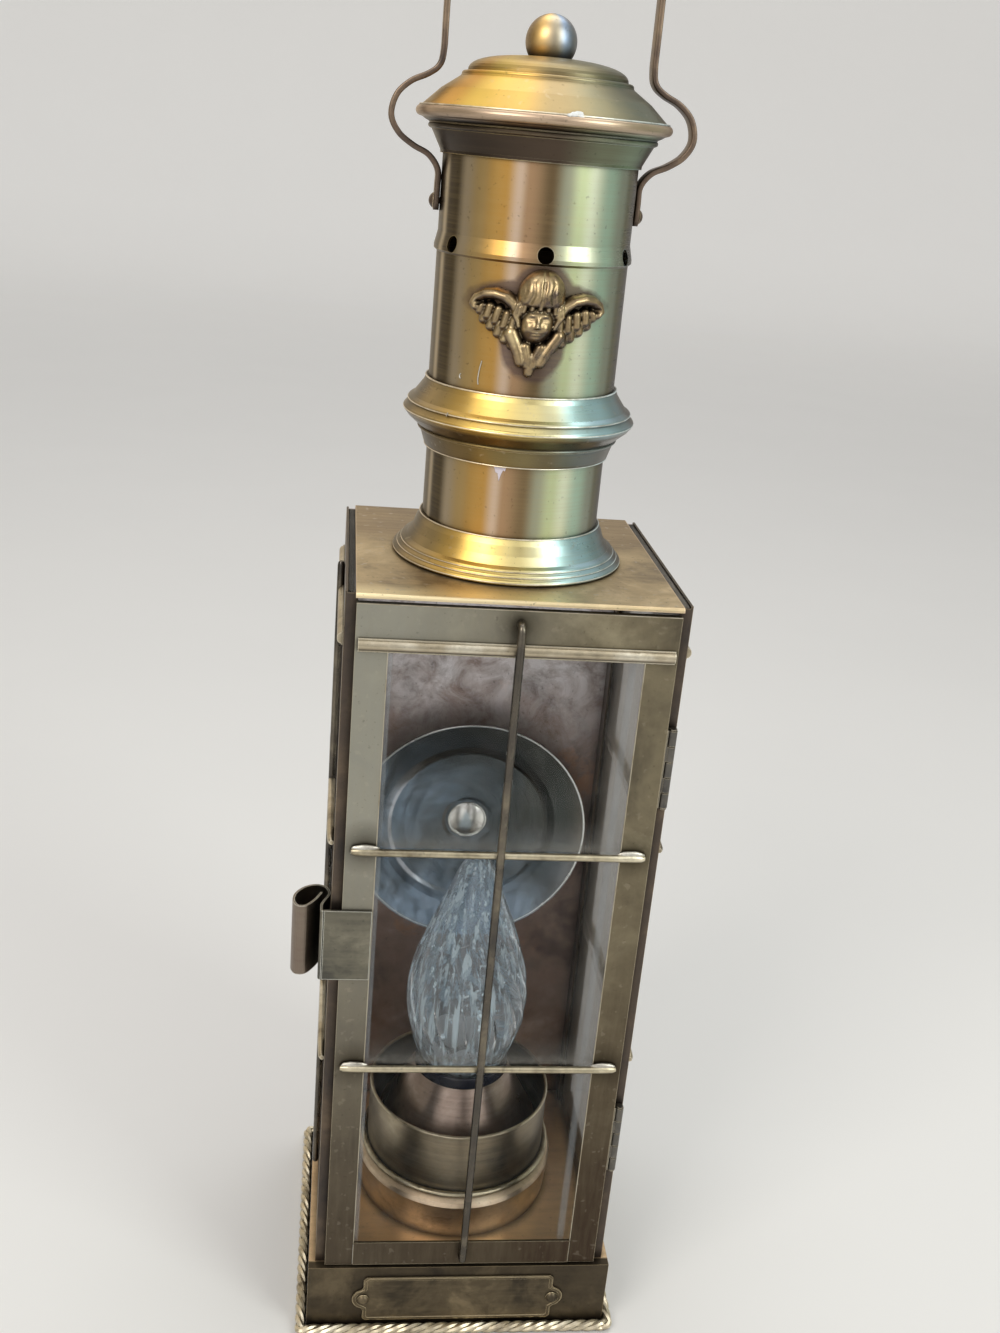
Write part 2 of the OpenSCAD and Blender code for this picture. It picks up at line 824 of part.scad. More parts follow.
// Bail: flat strap that steps out round the cap's rim and closes in an arch
module bail_handle() {
    half = [
        [strap_x, -eye_r], [strap_x, 4], [strap_x + 0.2, 9.4], [strap_x + 3.4, 13.6], [strap_x + 8.4, 16],
        [knee_x - 2.6, 19.4], [knee_x, 24.4], [knee_x - 1.4, 30.4], [knee_x - 5.6, 34.6],
        [leg_x + 4.4, 37.2], [leg_x + 1.2, 39.8], [leg_x + 0.1, 44], [leg_x, 54], [leg_x, arch_up - 12]
    ];
    knee = smooth_line(half, 5);
    top = arc(0, arch_up, leg_x, 0, 180, 36);
    line = concat(knee, top, turned([for (p = knee) [-p[0], p[1]]]));
    color(copper_brass)
        difference() {
            translate([0, strap_w / 2, pivot_z])
                rotate([90, 0, 0])
                    linear_extrude(height = strap_w)
                        polygon(ribbon(line, strap_t));
            translate([-knee_x, 0, pivot_z])
                rotate([0, 90, 0])
                    cylinder(r = rivet_r + eye_gap, h = 2 * knee_x);
        }
}

module bail_rivets() {
    inner_x = sqrt(pow(upper_tube_r - tube_wall, 2) - rivet_head_r * rivet_head_r) - seat;
    outer_x = strap_in + strap_t + run_gap / 2;
    color(copper_brass)
        for (s = [-1, 1])
            translate([0, 0, pivot_z])
                rotate([0, s * 90, 0]) {
                    translate([0, 0, inner_x - 0.8])
                        cylinder(r = rivet_r, h = outer_x - inner_x + 1);
                    translate([0, 0, inner_x - 0.8])
                        cylinder(r = rivet_head_r, h = 0.8);
                    translate([0, 0, outer_x])
                        rivet_head(rivet_head_r, rivet_head_t);
                }
}

// Reflector: shallow dish whose middle stands on the back wall
module reflector() {
    line = concat(
        [[screw_r + seat, 0], [button_r + 2, 0.1]],
        [for (i = [1 : 6]) let (f = i / 6 * reflector_step)
            [reflector_r * f, max(0.1, reflector_depth * pow(f, 2) * 0.9)]],
        [[reflector_r * (reflector_step + 0.03), reflector_depth * pow(reflector_step, 2) * 0.9 + 0.9]],
        [for (i = [1 : 5]) let (f = reflector_step + 0.03 + (0.97 - reflector_step) * i / 5)
            [reflector_r * f, reflector_depth * (0.5 + 0.5 * (f - 0.69) / 0.31)]]
    );
    clean = [for (p = line) if (p[0] >= button_r + 2 || p[0] == line[0][0]) p];
    color(nickel)
        translate([0, reflector_back_y, reflector_mid_z])
            rotate([90, 0, 0])
                rotate_extrude()
                    polygon(concat(clean, turned([for (p = clean) [p[0], p[1] + reflector_t]])));
}

module reflector_button() {
    front = reflector_back_y - reflector_t - 0.1 - seat;
    color(nickel)
        translate([0, front, reflector_mid_z])
            rotate([90, 0, 0])
                union() {
                    rivet_head(button_r, 2);
                    translate([0, 0, front - back_y - 3.6])
                        cylinder(r = screw_r, h = back_y - front + 3.6);
                }
}

module reflector_nut() {
    color(antique_brass)
        translate([0, back_y + seat, reflector_mid_z])
            rotate([-90, 0, 0])
                difference() {
                    cylinder(r = 3.6, h = 2.4, $fn = 6);
                    translate([0, 0, -1])
                        cylinder(r = screw_r + seat, h = 5);
                }
}

// Drum: its wall leans out to a rounded shoulder
module lamp_drum() {
    under = drum_h - lamp_sheet;
    hole_r = nipple_r + seat;
    line = [
        [drum_r - drum_lean, 0], [drum_r, drum_h - 3.4], [drum_r - 0.8, drum_h - 1.8],
        [drum_top_r + 0.8, drum_h - 0.6], [drum_top_r, drum_h]
    ];
    inside = [for (p = line) [p[0] - lamp_sheet, min(p[1], under)]];
    color(copper_brass)
        translate([0, 0, floor_z + seat])
            rotate_extrude()
                polygon(concat(line, [[hole_r, drum_h], [hole_r, under]], turned(inside)));
}

module drum_bead() {
    color(pale_brass)
        translate([0, 0, cup_z + bead_r])
            rotate_extrude()
                translate([bead_ring_r, 0])
                    circle(r = bead_r);
}

module lamp_cup() {
    color(antique_brass)
        difference() {
            disc(cup_r, cup_z, cup_top);
            disc(cup_r - lamp_sheet, cup_z + lamp_sheet, cup_top + 1);
            disc(nipple_r + seat, cup_z - 1, cup_z + lamp_sheet + 1);
        }
}

module lamp_cone() {
    foot_r = cup_r - lamp_sheet - seat;
    line = [[foot_r, cone_z], [foot_r, cone_z + 0.8], [cone_top_r, cone_top]];
    color(antique_brass)
        turned_wall(line, 0.9, 0);
}

module socket_collar() {
    color(dark_plastic)
        rotate_extrude()
            polygon(concat(
                [[shell_r + 0.6, collar_low], [cone_top_r - 1.4, collar_low],
                    [cone_top_r - 1.4, cone_top + seat], [socket_collar_r, cone_top + seat]],
                arc(socket_collar_r - 0.6, collar_high - 0.6, 0.6, 0, 90, 5),
                [[shell_r + 3.7, collar_high], [shell_r + 0.6, bulb_low - 0.9]]
            ));
}

module socket_body() {
    top = collar_low - seat;
    color(dark_plastic)
        difference() {
            disc(socket_r, socket_low, top);
            disc(shell_r + seat, shell_low - 1, top + 1);
            disc(nipple_r + seat, socket_low - 1, shell_low - 2.6);
            disc(2, socket_low, shell_low);
        }
}

module socket_shell() {
    color(pale_brass)
        pipe(shell_r, shell_t, shell_low, collar_low + 1.2);
}

module socket_contact() {
    color(nickel)
        union() {
            disc(1.8, shell_low - 2.4, shell_low - 0.2);
            disc(3.2, shell_low - 0.95, shell_low + 0.4);
        }
}

module lamp_nipple() {
    color(antique_brass)
        pipe(nipple_r, nipple_r - nipple_bore_r, nipple_low, socket_low + 3);
}

module nipple_nuts() {
    lows = [floor_z - base_sheet - seat - nut_h, cup_z + lamp_sheet + seat];
    color(antique_brass)
        for (z = lows)
            difference() {
                translate([0, 0, z])
                    cylinder(r = nut_r, h = nut_h, $fn = 6);
                disc(nipple_r + seat, z - 1, z + nut_h + 1);
            }
}

module bulb_cap() {
    color(nickel)
        union() {
            pipe(bulb_cap_r, bulb_cap_t, bulb_cap_low + 3, bulb_low - 1.5);
            translate([0, 0, bulb_cap_low])
                cylinder(r1 = 4.5, r2 = bulb_cap_r, h = 3.6);
            disc(4.5, bulb_cap_low - 1.5, bulb_cap_low + 0.1);
        }
}

module bulb_glass() {
    outer = concat(
        [[neck_r, -10], [neck_r, -1]],
        [for (p = smooth_line(bulb_line, 3)) [p[0] * bulb_r, p[1] * bulb_h]],
        [[0, bulb_h]]
    );
    inner = concat(
        [[neck_r - bulb_wall, -10], [neck_r - bulb_wall, -0.6]],
        [for (p = smooth_line(bulb_line, 3)) if (p[0] * bulb_r > 2 * bulb_wall)
            [p[0] * bulb_r - bulb_wall, p[1] * (bulb_h - bulb_wall)]],
        [[0, bulb_h - bulb_wall - 0.2]]
    );
    color(clear_glass)
        translate([0, 0, bulb_low])
            rotate_extrude()
                polygon(concat(outer, turned(inner)));
}

// Glass mount: a cup on a foot with the stem standing in it
module bulb_stem() {
    foot_r = neck_r - bulb_wall - seat;
    cup = [[foot_r, -6], [foot_r, 1], [mount_r - 0.4, 4.5], [mount_r, mount_h]];
    color(clear_glass)
        translate([0, 0, bulb_low])
            union() {
                turned_wall(cup, 0.7, 0);
                disc(foot_r, -6, -5);
                disc(stem_r, -5.5, stem_h);
                translate([0, 0, stem_h])
                    sphere(r = stem_r);
            }
}

module bulb_lead_wires() {
    wire_r = 0.35;
    foot_z = bulb_low + stem_h + stem_r - 0.15;
    rise = filament_z - 0.5 - foot_z;
    lean = filament_x - 0.2 - 1.6;
    color(nickel)
        for (s = [-1, 1])
            translate([s * 1.6, 0, foot_z])
                rotate([0, s * atan2(lean, rise), 0])
                    cylinder(r = wire_r, h = norm([lean, rise]));
}

module filament() {
    wire_r = 0.3;
    peak = 8.6;
    color(nickel)
        for (s = [-1, 1])
            translate([s * filament_x, 0, filament_z])
                rotate([0, -s * atan2(filament_x, peak), 0])
                    cylinder(r = wire_r, h = norm([filament_x, peak]));
}

module door_frame() {
    x = door_w / 2;
    color(antique_brass)
        difference() {
            box(-x, x, door_front_y, door_back_y, door_z, door_top);
            box(-x + door_sheet, x - door_sheet, door_front_y + door_sheet, door_back_y + 1,
                door_z + door_sheet, door_top - door_sheet);
            box(-x + door_stile, x - door_stile, door_front_y - 1, door_back_y + 1,
                door_z + door_bottom_rail, door_top - door_top_rail);
        }
}

module door_bottom_strip() {
    x = door_w / 2 - door_stile;
    color(antique_brass)
        box(-x + seat, x - seat, door_front_y - seat - rail_strip_t, door_front_y - seat,
            door_z + 0.4, door_z + door_bottom_rail + 0.6);
}

module door_top_trim() {
    l = door_w - 2;
    color(pale_brass)
        translate([l / 2, door_front_y - seat, trim_z])
            rotate([0, 0, 90])
                rotate([0, -90, 0])
                    half_round(l);
}

module door_level_bars() {
    l = door_w - 2 * bar_end;
    color(pale_brass)
        for (z = [lower_z, upper_z])
            translate([-l / 2, bar_y, z])
                rotate([0, 90, 0])
                    cylinder(d = bar_d, h = l);
}

module door_upright_bar() {
    color(pale_brass)
        union() {
            translate([0, upright_y, upright_bottom])
                cylinder(d = upright_d, h = upright_top - upright_bottom);
            translate([0, upright_y, upright_top - foot_r])
                rotate([-90, 0, 0])
                    cylinder(r = foot_r, h = door_front_y - seat - upright_y);
            translate([0, upright_y, upright_bottom + foot_r])
                rotate([-90, 0, 0])
                    cylinder(r = foot_r, h = door_front_y - 2 * seat - rail_strip_t - upright_y);
        }
}

module door_glass() {
    x = door_w / 2 - door_sheet - 2 * seat - clip_t - seat;
    color(clear_glass)
        box(-x, x, glass_front_y, glass_front_y + door_glass_t, door_z + door_sheet + 0.3,
            door_top - door_sheet - 0.3);
}

// Four bent tabs that hold the door glass in its frame
module door_glass_clips() {
    x1 = door_w / 2 - door_sheet - seat;
    x0 = x1 - clip_t;
    y0 = glass_front_y + 0.1;
    y1 = glass_front_y + door_glass_t + seat;
    color(dark_brass)
        for (s = [0, 1], z = [door_z + clip_end_z, door_top - clip_end_z])
            mirror([s, 0, 0])
                union() {
                    box(x0, x1, y0, y1 + clip_t, z - clip_w / 2, z + clip_w / 2);
                    box(x0 - clip_reach, x1, y1, y1 + clip_t, z - clip_w / 2, z + clip_w / 2);
                }
}

module latch_plate() {
    color(antique_brass)
        box(-side_x - latch_corner + 0.45 + run_gap, -latch_x_in, door_front_y - seat - latch_t,
            door_front_y - seat, latch_mid_z - latch_h / 2, latch_mid_z + latch_h / 2);
}

// Spring end of the latch: an S bend along the cabin's side and a finger loop
module latch_tongue() {
    bend = arc(tongue_start, tongue_bend - seat - latch_t / 2, tongue_bend, -90, -15, 5);
    line = [for (p = concat([[latch_corner - 0.45, bend[0][1]]], bend, smooth_line(tongue_line, 5)))
        [-side_x - p[0], door_front_y + p[1]]];
    color(antique_brass)
        translate([0, 0, latch_mid_z - latch_h / 2])
            linear_extrude(height = latch_h)
                polygon(ribbon(line, latch_t));
}

// Knuckles of one leaf: every second one, counted from first
module knuckle_row(first, z) {
    for (i = [first : 2 : knuckles - 1])
        translate([barrel_x, barrel_y, z - hinge_l / 2 + i * knuckle_l + knuckle_gap / 2])
            cylinder(r = barrel_r, h = knuckle_l - knuckle_gap);
}

module pin_bore(z) {
    translate([barrel_x, barrel_y, z - hinge_l])
        cylinder(r = pin_r + pin_gap, h = 2 * hinge_l);
}

module hinge_body_leaves() {
    leaf_y = front_y - seat - leaf_t;
    color(copper_brass)
        for (z = hinge_zs)
            difference() {
                union() {
                    knuckle_row(0, z);
                    box(barrel_x - barrel_r + 0.1, barrel_x + barrel_r, leaf_y, front_y - seat,
                        z - hinge_l / 2, z + hinge_l / 2);
                    for (i = [0 : 2 : knuckles - 1])
                        box(barrel_x - 1, barrel_x + 1, barrel_y + barrel_r - 0.6, leaf_y + 0.1,
                            z - hinge_l / 2 + i * knuckle_l + knuckle_gap / 2,
                            z - hinge_l / 2 + (i + 1) * knuckle_l - knuckle_gap / 2);
                }
                pin_bore(z);
            }
}

module hinge_door_leaves() {
    leaf_x = door_w / 2 + seat;
    color(copper_brass)
        for (z = hinge_zs)
            difference() {
                union() {
                    knuckle_row(1, z);
                    box(leaf_x, leaf_x + leaf_t, door_front_y, door_back_y - 0.1,
                        z - hinge_l / 2, z + hinge_l / 2);
                    for (i = [1 : 2 : knuckles - 1])
                        box(leaf_x + leaf_t - 0.1, barrel_x - barrel_r + 0.6, barrel_y - 0.8, barrel_y + 0.8,
                            z - hinge_l / 2 + i * knuckle_l + knuckle_gap / 2,
                            z - hinge_l / 2 + (i + 1) * knuckle_l - knuckle_gap / 2);
                }
                pin_bore(z);
            }
}

module hinge_pins() {
    color(copper_brass)
        for (z = hinge_zs)
            translate([barrel_x, barrel_y, z])
                union() {
                    translate([0, 0, -hinge_l / 2])
                        cylinder(r = pin_r, h = hinge_l);
                    for (end = [-hinge_l / 2 - pin_head_t, hinge_l / 2])
                        translate([0, 0, end])
                            cylinder(r = barrel_r - 0.2, h = pin_head_t);
                }
}

base_tray();
base_bottom_plate();
rope_trim();
name_plate();
name_plate_rivets();
cord_bush();
back_wall();
left_side_frame();
right_side_frame();
left_side_glass();
right_side_glass();
left_level_bars();
right_level_bars();
left_upright_bar();
right_upright_bar();
roof_plate();
chimney_flange();
lower_chimney_tube();
chimney_collar();
upper_chimney_tube();
cherub_ornament();
cap_skirt();
cap_dome();
finial_ball();
finial_screw();
bail_handle();
bail_rivets();
reflector();
reflector_button();
reflector_nut();
lamp_drum();
drum_bead();
lamp_cup();
lamp_cone();
socket_collar();
socket_body();
socket_shell();
socket_contact();
lamp_nipple();
nipple_nuts();
bulb_cap();
bulb_glass();
bulb_stem();
bulb_lead_wires();
filament();
door_frame();
door_bottom_strip();
door_top_trim();
door_level_bars();
door_upright_bar();
door_glass();
door_glass_clips();
latch_plate();
latch_tongue();
hinge_body_leaves();
hinge_door_leaves();
hinge_pins();
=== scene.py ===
import math
import random

import bmesh
import bpy
import numpy
from mathutils import Matrix, Vector


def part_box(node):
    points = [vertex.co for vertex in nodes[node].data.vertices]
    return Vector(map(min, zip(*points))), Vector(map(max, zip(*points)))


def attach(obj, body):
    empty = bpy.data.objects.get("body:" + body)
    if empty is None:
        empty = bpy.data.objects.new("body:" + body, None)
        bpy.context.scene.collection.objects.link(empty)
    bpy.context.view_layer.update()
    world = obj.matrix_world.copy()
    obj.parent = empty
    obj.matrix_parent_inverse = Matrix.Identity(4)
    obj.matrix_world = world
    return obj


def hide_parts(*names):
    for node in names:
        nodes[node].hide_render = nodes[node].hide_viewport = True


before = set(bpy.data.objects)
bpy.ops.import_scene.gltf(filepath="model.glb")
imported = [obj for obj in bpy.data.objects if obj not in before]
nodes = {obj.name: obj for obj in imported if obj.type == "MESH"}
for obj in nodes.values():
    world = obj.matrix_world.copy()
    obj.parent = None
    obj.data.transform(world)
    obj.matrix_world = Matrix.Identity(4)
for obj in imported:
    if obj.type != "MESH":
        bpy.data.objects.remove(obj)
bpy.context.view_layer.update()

# Lengths are in metres, and places come from the frame's own boxes
MM = 0.001


class Shader:
    """A material's node tree with one Principled shader, and short calls that add nodes to it."""

    def __init__(self, name):
        self.material = bpy.data.materials.new(name)
        self.material.use_nodes = True
        self.tree = self.material.node_tree
        self.main = self.tree.nodes["Principled BSDF"]
        self.place = self.tree.nodes.new("ShaderNodeTexCoord").outputs["Object"]

    def add(self, kind, **settings):
        node = self.tree.nodes.new(kind)
        for key, value in settings.items():
            setattr(node, key, value)
        return node

    def link(self, source, target):
        if isinstance(source, (int, float, tuple)):
            target.default_value = source
        else:
            self.tree.links.new(source, target)

    def scaled(self, x, y, z):
        node = self.add("ShaderNodeMapping")
        self.link(self.place, node.inputs["Vector"])
        node.inputs["Scale"].default_value = (x, y, z)
        return node.outputs["Vector"]

    def noise(self, scale, detail=4, rough=0.55, place=None, bend=0.0):
        node = self.add("ShaderNodeTexNoise")
        self.link(place or self.place, node.inputs["Vector"])
        node.inputs["Scale"].default_value = scale
        node.inputs["Detail"].default_value = detail
        node.inputs["Roughness"].default_value = rough
        node.inputs["Distortion"].default_value = bend
        return node.outputs["Fac"]

    def ramp(self, value, stops, smooth=False):
        node = self.add("ShaderNodeValToRGB")
        self.link(value, node.inputs["Fac"])
        ramp = node.color_ramp
        ramp.interpolation = "EASE" if smooth else "LINEAR"
        for i, (at, shade) in enumerate(stops):
            point = ramp.elements[i] if i < 2 else ramp.elements.new(at)
            point.position = at
            point.color = (*shade, 1) if isinstance(shade, tuple) else (shade, shade, shade, 1)
        return node.outputs["Color"]

    def math(self, operation, a, b=0.0):
        node = self.add("ShaderNodeMath", operation=operation)
        self.link(a, node.inputs[0])
        self.link(b, node.inputs[1])
        return node.outputs[0]

    def mix(self, amount, a, b, blend="MIX"):
        node = self.add("ShaderNodeMix", data_type="RGBA", blend_type=blend)
        self.link(amount, node.inputs["Factor"])
        for value, socket in ((a, "A_Color"), (b, "B_Color")):
            target = next(i for i in node.inputs if i.identifier == socket)
            self.link((*value, 1) if isinstance(value, tuple) else value, target)
        return next(o for o in node.outputs if o.identifier == "Result_Color")

    def split(self):
        node = self.add("ShaderNodeSeparateXYZ")
        self.link(self.place, node.inputs[0])
        return node.outputs

    def around(self):
        """Share of a turn round the Z axis, 0.5 at the front."""
        x, y, z = self.split()
        turn = self.math("ARCTAN2", x, self.math("MULTIPLY", y, -1.0))
        return self.math("ADD", self.math("DIVIDE", turn, 2 * math.pi), 0.5)

    def edge_wear(self, reach, low=0.02, high=0.25):
        """Near an edge the rounded normal turns away from the face's own."""
        rounded = self.add("ShaderNodeBevel", samples=4)
        rounded.inputs["Radius"].default_value = reach
        own = self.add("ShaderNodeNewGeometry")
        dot = self.add("ShaderNodeVectorMath", operation="DOT_PRODUCT")
        self.link(rounded.outputs["Normal"], dot.inputs[0])
        self.link(own.outputs["Normal"], dot.inputs[1])
        return self.ramp(self.math("SUBTRACT", 1.0, dot.outputs["Value"]), [(low, 0.0), (high, 1.0)])

    def crevice(self, reach, low=0.35, high=0.95):
        node = self.add("ShaderNodeAmbientOcclusion", samples=6)
        node.inputs["Distance"].default_value = reach
        return self.ramp(node.outputs["AO"], [(low, 1.0), (high, 0.0)])

    def near(self, point, reach, soft=1.0):
        """One at a point of the object, falling to nothing at that reach."""
        node = self.add("ShaderNodeVectorMath", operation="DISTANCE")
        self.link(self.place, node.inputs[0])
        node.inputs[1].default_value = point
        return self.ramp(self.math("DIVIDE", node.outputs["Value"], reach), [(1 - soft, 1.0), (1.0, 0.0)])

    def past(self, axis, place, soft=0.1 * MM):
        """One where the object's coordinate lies past a place, nothing before it."""
        away = self.math("SUBTRACT", self.split()[axis], place)
        return self.ramp(self.math("ADD", self.math("DIVIDE", away, soft), 0.5), [(0.0, 0.0), (1.0, 1.0)])

    def facing_down(self, share):
        """That share where a face looks down, nothing where it stands upright or looks up."""
        own = self.add("ShaderNodeNewGeometry")
        node = self.add("ShaderNodeSeparateXYZ")
        self.link(own.outputs["Normal"], node.inputs[0])
        return self.ramp(self.math("MULTIPLY", node.outputs[2], -1.0), [(0.08, 0.0), (0.50, share)])

    def bump(self, height, strength, distance, under=None):
        node = self.add("ShaderNodeBump")
        node.inputs["Strength"].default_value = strength
        node.inputs["Distance"].default_value = distance
        self.link(height, node.inputs["Height"])
        if under is not None:
            self.link(under, node.inputs["Normal"])
        return node.outputs["Normal"]

    def set(self, **values):
        for key, value in values.items():
            self.link(value, self.main.inputs[key.replace("_", " ").title().replace("Ior", "IOR")])


def darker(shade, share):
    return tuple(c * share for c in shade)


def brass(name, dark, mid, light, rough=0.34, brush=(260, 260, 260), patch=28, wear_and_highlight=0.5, crevice_shade=0.75,
          speck=0.3, reflection_tint=None, reflection_share=0.55, edge=(0.80, 0.68, 0.44), edge_reflection=None, halo=(),
          corner=4 * MM, dent=0.1, worn_reach=0.45 * MM, streak=0.3, dust=0.0, under=0.6, cold_sheen=0.07,
          zones=()):
    """Old brass: patches of patina, grime and painted shade in corners, painted shade on faces that look down, worn
    edges with painted highlights, specks, fine brushing, a painted cold sheen and, where given, painted reflections
    round the Z axis.

    zones are pairs of a function that gives a share from the shader and the colour mixed in by it."""
    s = Shader(name)
    patches = s.noise(patch, 5, 0.6, bend=0.4)
    clouds = s.noise(patch * 4.3, 6, 0.7)
    shade = s.ramp(patches, [(0.32, dark), (0.70, light), (0.50, mid)], smooth=True)
    shade = s.mix(s.ramp(clouds, [(0.4, 0.0), (0.8, 0.5)]), shade, dark)
    # Painted reflections: colour bands by the turn round the Z axis
    if reflection_tint:
        shade = s.mix(reflection_share, shade, s.ramp(s.around(), reflection_tint, smooth=True))
    for share, zone_shade in zones:
        shade = s.mix(share(s), shade, zone_shade)
    streaks = s.noise(1.0, 3, 0.6, s.scaled(*brush))
    shade = s.mix(s.ramp(streaks, [(0.4, 0.0), (0.8, streak)]), shade, light)
    specks = s.ramp(s.noise(700, 2, 0.5), [(0.66, 0.0), (0.74, speck)])
    shade = s.mix(specks, shade, darker(dark, 0.35))
    # Painted shade: darker on faces that look down
    shade = s.mix(s.facing_down(under), shade, darker(dark, 0.8))
    if dust:
        shade = s.mix(s.ramp(s.noise(380, 2, 0.4), [(0.66, 0.0), (0.72, dust)]), shade, (0.62, 0.54, 0.42))
    # Painted cold sheen over all the colour, standing in for a reflection of a cold sky
    shade = s.mix(cold_sheen, shade, (0.58, 0.61, 0.66))
    # Worn edges, lighter as bare metal and as a painted highlight, coloured by the turn round the Z axis where given
    worn = s.edge_wear(worn_reach)
    edge_highlight_shade = s.ramp(s.around(), edge_reflection, smooth=True) if edge_reflection else edge
    shade = s.mix(s.math("MULTIPLY", worn, wear_and_highlight), shade, edge_highlight_shade)
    # Darker in crevices by their occlusion: grime and painted shade
    occluded = s.crevice(corner)
    shade = s.mix(s.math("MULTIPLY", occluded, crevice_shade), shade, darker(dark, 0.3))
    for point, reach in halo:
        shade = s.mix(s.math("MULTIPLY", s.near(point, reach), 0.8), shade, darker(dark, 0.4))
    roughness = s.math("ADD", s.math("MULTIPLY", patches, 0.25), rough - 0.12)
    roughness = s.math("ADD", roughness, s.math("MULTIPLY", streaks, 0.12))
    relief = s.bump(streaks, 0.3, 0.02 * MM)
    s.set(base_color=shade, metallic=1.0,
          roughness=s.math("ADD", roughness, s.math("MULTIPLY", occluded, 0.25)),
          normal=s.bump(clouds, dent, 0.05 * MM, relief))
    return s.material


# Colours of the metal, as read on the object

OLIVE = ((0.050, 0.041, 0.022), (0.150, 0.124, 0.066), (0.29, 0.245, 0.145))
RAIL = ((0.075, 0.058, 0.034), (0.205, 0.168, 0.100), (0.36, 0.31, 0.20))
BASE = ((0.020, 0.014, 0.008), (0.075, 0.055, 0.030), (0.17, 0.13, 0.075))
GOLD = ((0.10, 0.062, 0.022), (0.35, 0.24, 0.09), (0.56, 0.41, 0.18))
PALE = ((0.16, 0.12, 0.06), (0.46, 0.37, 0.19), (0.74, 0.64, 0.40))
BROWN = ((0.026, 0.017, 0.011), (0.078, 0.051, 0.030), (0.19, 0.13, 0.075))
COPPER = ((0.055, 0.034, 0.021), (0.165, 0.105, 0.065), (0.33, 0.23, 0.14))
ORANGE = ((0.32, 0.22, 0.14), (0.82, 0.62, 0.41), (1.0, 0.84, 0.62))

# Painted reflections round the chimney, bands of highlight and dark edges, from the back over the left, the front and
# the right to the back again
ROUND_REFLECTION = [
    (0.0, (0.16, 0.11, 0.06)), (1.0, (0.16, 0.11, 0.06)), (0.262, (0.020, 0.014, 0.009)),
    (0.284, (0.055, 0.040, 0.024)), (0.297, (0.50, 0.43, 0.32)), (0.311, (0.036, 0.025, 0.014)),
    (0.333, (0.070, 0.050, 0.028)), (0.356, (0.54, 0.44, 0.31)), (0.385, (0.58, 0.40, 0.17)),
    (0.408, (0.55, 0.32, 0.085)), (0.430, (0.57, 0.31, 0.070)), (0.451, (0.72, 0.54, 0.40)),
    (0.466, (0.46, 0.28, 0.155)), (0.500, (0.27, 0.185, 0.095)), (0.524, (0.38, 0.40, 0.29)),
    (0.550, (0.58, 0.67, 0.39)), (0.576, (0.92, 1.0, 0.76)), (0.604, (0.64, 0.85, 0.70)),
    (0.640, (0.45, 0.48, 0.41)), (0.662, (0.20, 0.19, 0.13)), (0.690, (0.040, 0.033, 0.022)),
]
# Painted reflections the same way on the flange and the collar, warm at the left and cold at the right
RIM_REFLECTION = [
    (0.0, (0.16, 0.12, 0.06)), (1.0, (0.16, 0.12, 0.06)), (0.27, (0.10, 0.076, 0.042)), (0.335, (0.44, 0.32, 0.15)),
    (0.39, (0.70, 0.44, 0.11)), (0.42, (1.0, 0.66, 0.16)), (0.455, (1.0, 0.76, 0.25)), (0.495, (1.0, 0.84, 0.38)),
    (0.53, (0.58, 0.55, 0.34)), (0.565, (0.60, 0.88, 0.88)), (0.61, (0.52, 0.78, 0.88)), (0.66, (0.30, 0.43, 0.48)),
    (0.71, (0.09, 0.088, 0.075)),
]
# Painted reflections round the cap: golden at the left, cold and dark at the right
CAP_REFLECTION = [
    (0.0, (0.20, 0.16, 0.10)), (1.0, (0.20, 0.16, 0.10)), (0.27, (0.42, 0.27, 0.09)), (0.34, (0.93, 0.50, 0.085)),
    (0.38, (1.0, 0.66, 0.12)), (0.44, (0.70, 0.43, 0.105)), (0.49, (0.36, 0.27, 0.13)), (0.56, (0.27, 0.26, 0.16)),
    (0.63, (0.20, 0.24, 0.19)), (0.72, (0.060, 0.064, 0.055)),
]
# Painted reflections round the cap's skirt: dark, with a cold sheen at the right
SKIRT_REFLECTION = [
    (0.0, (0.05, 0.035, 0.02)), (1.0, (0.05, 0.035, 0.02)), (0.38, (0.050, 0.034, 0.021)), (0.50, (0.105, 0.072, 0.048)),
    (0.58, (0.24, 0.27, 0.17)), (0.64, (0.32, 0.42, 0.28)), (0.70, (0.07, 0.07, 0.05)),
]
# Painted highlight colours for worn edges and bright lines: gold at the left, cold at the right
RIDGE_HIGHLIGHT = [
    (0.0, (0.62, 0.52, 0.36)), (1.0, (0.62, 0.52, 0.36)), (0.28, (0.70, 0.52, 0.26)), (0.42, (0.98, 0.76, 0.38)),
    (0.52, (0.88, 0.80, 0.58)), (0.60, (0.80, 0.92, 0.88)), (0.68, (0.60, 0.80, 0.84)), (0.76, (0.40, 0.42, 0.38)),
]


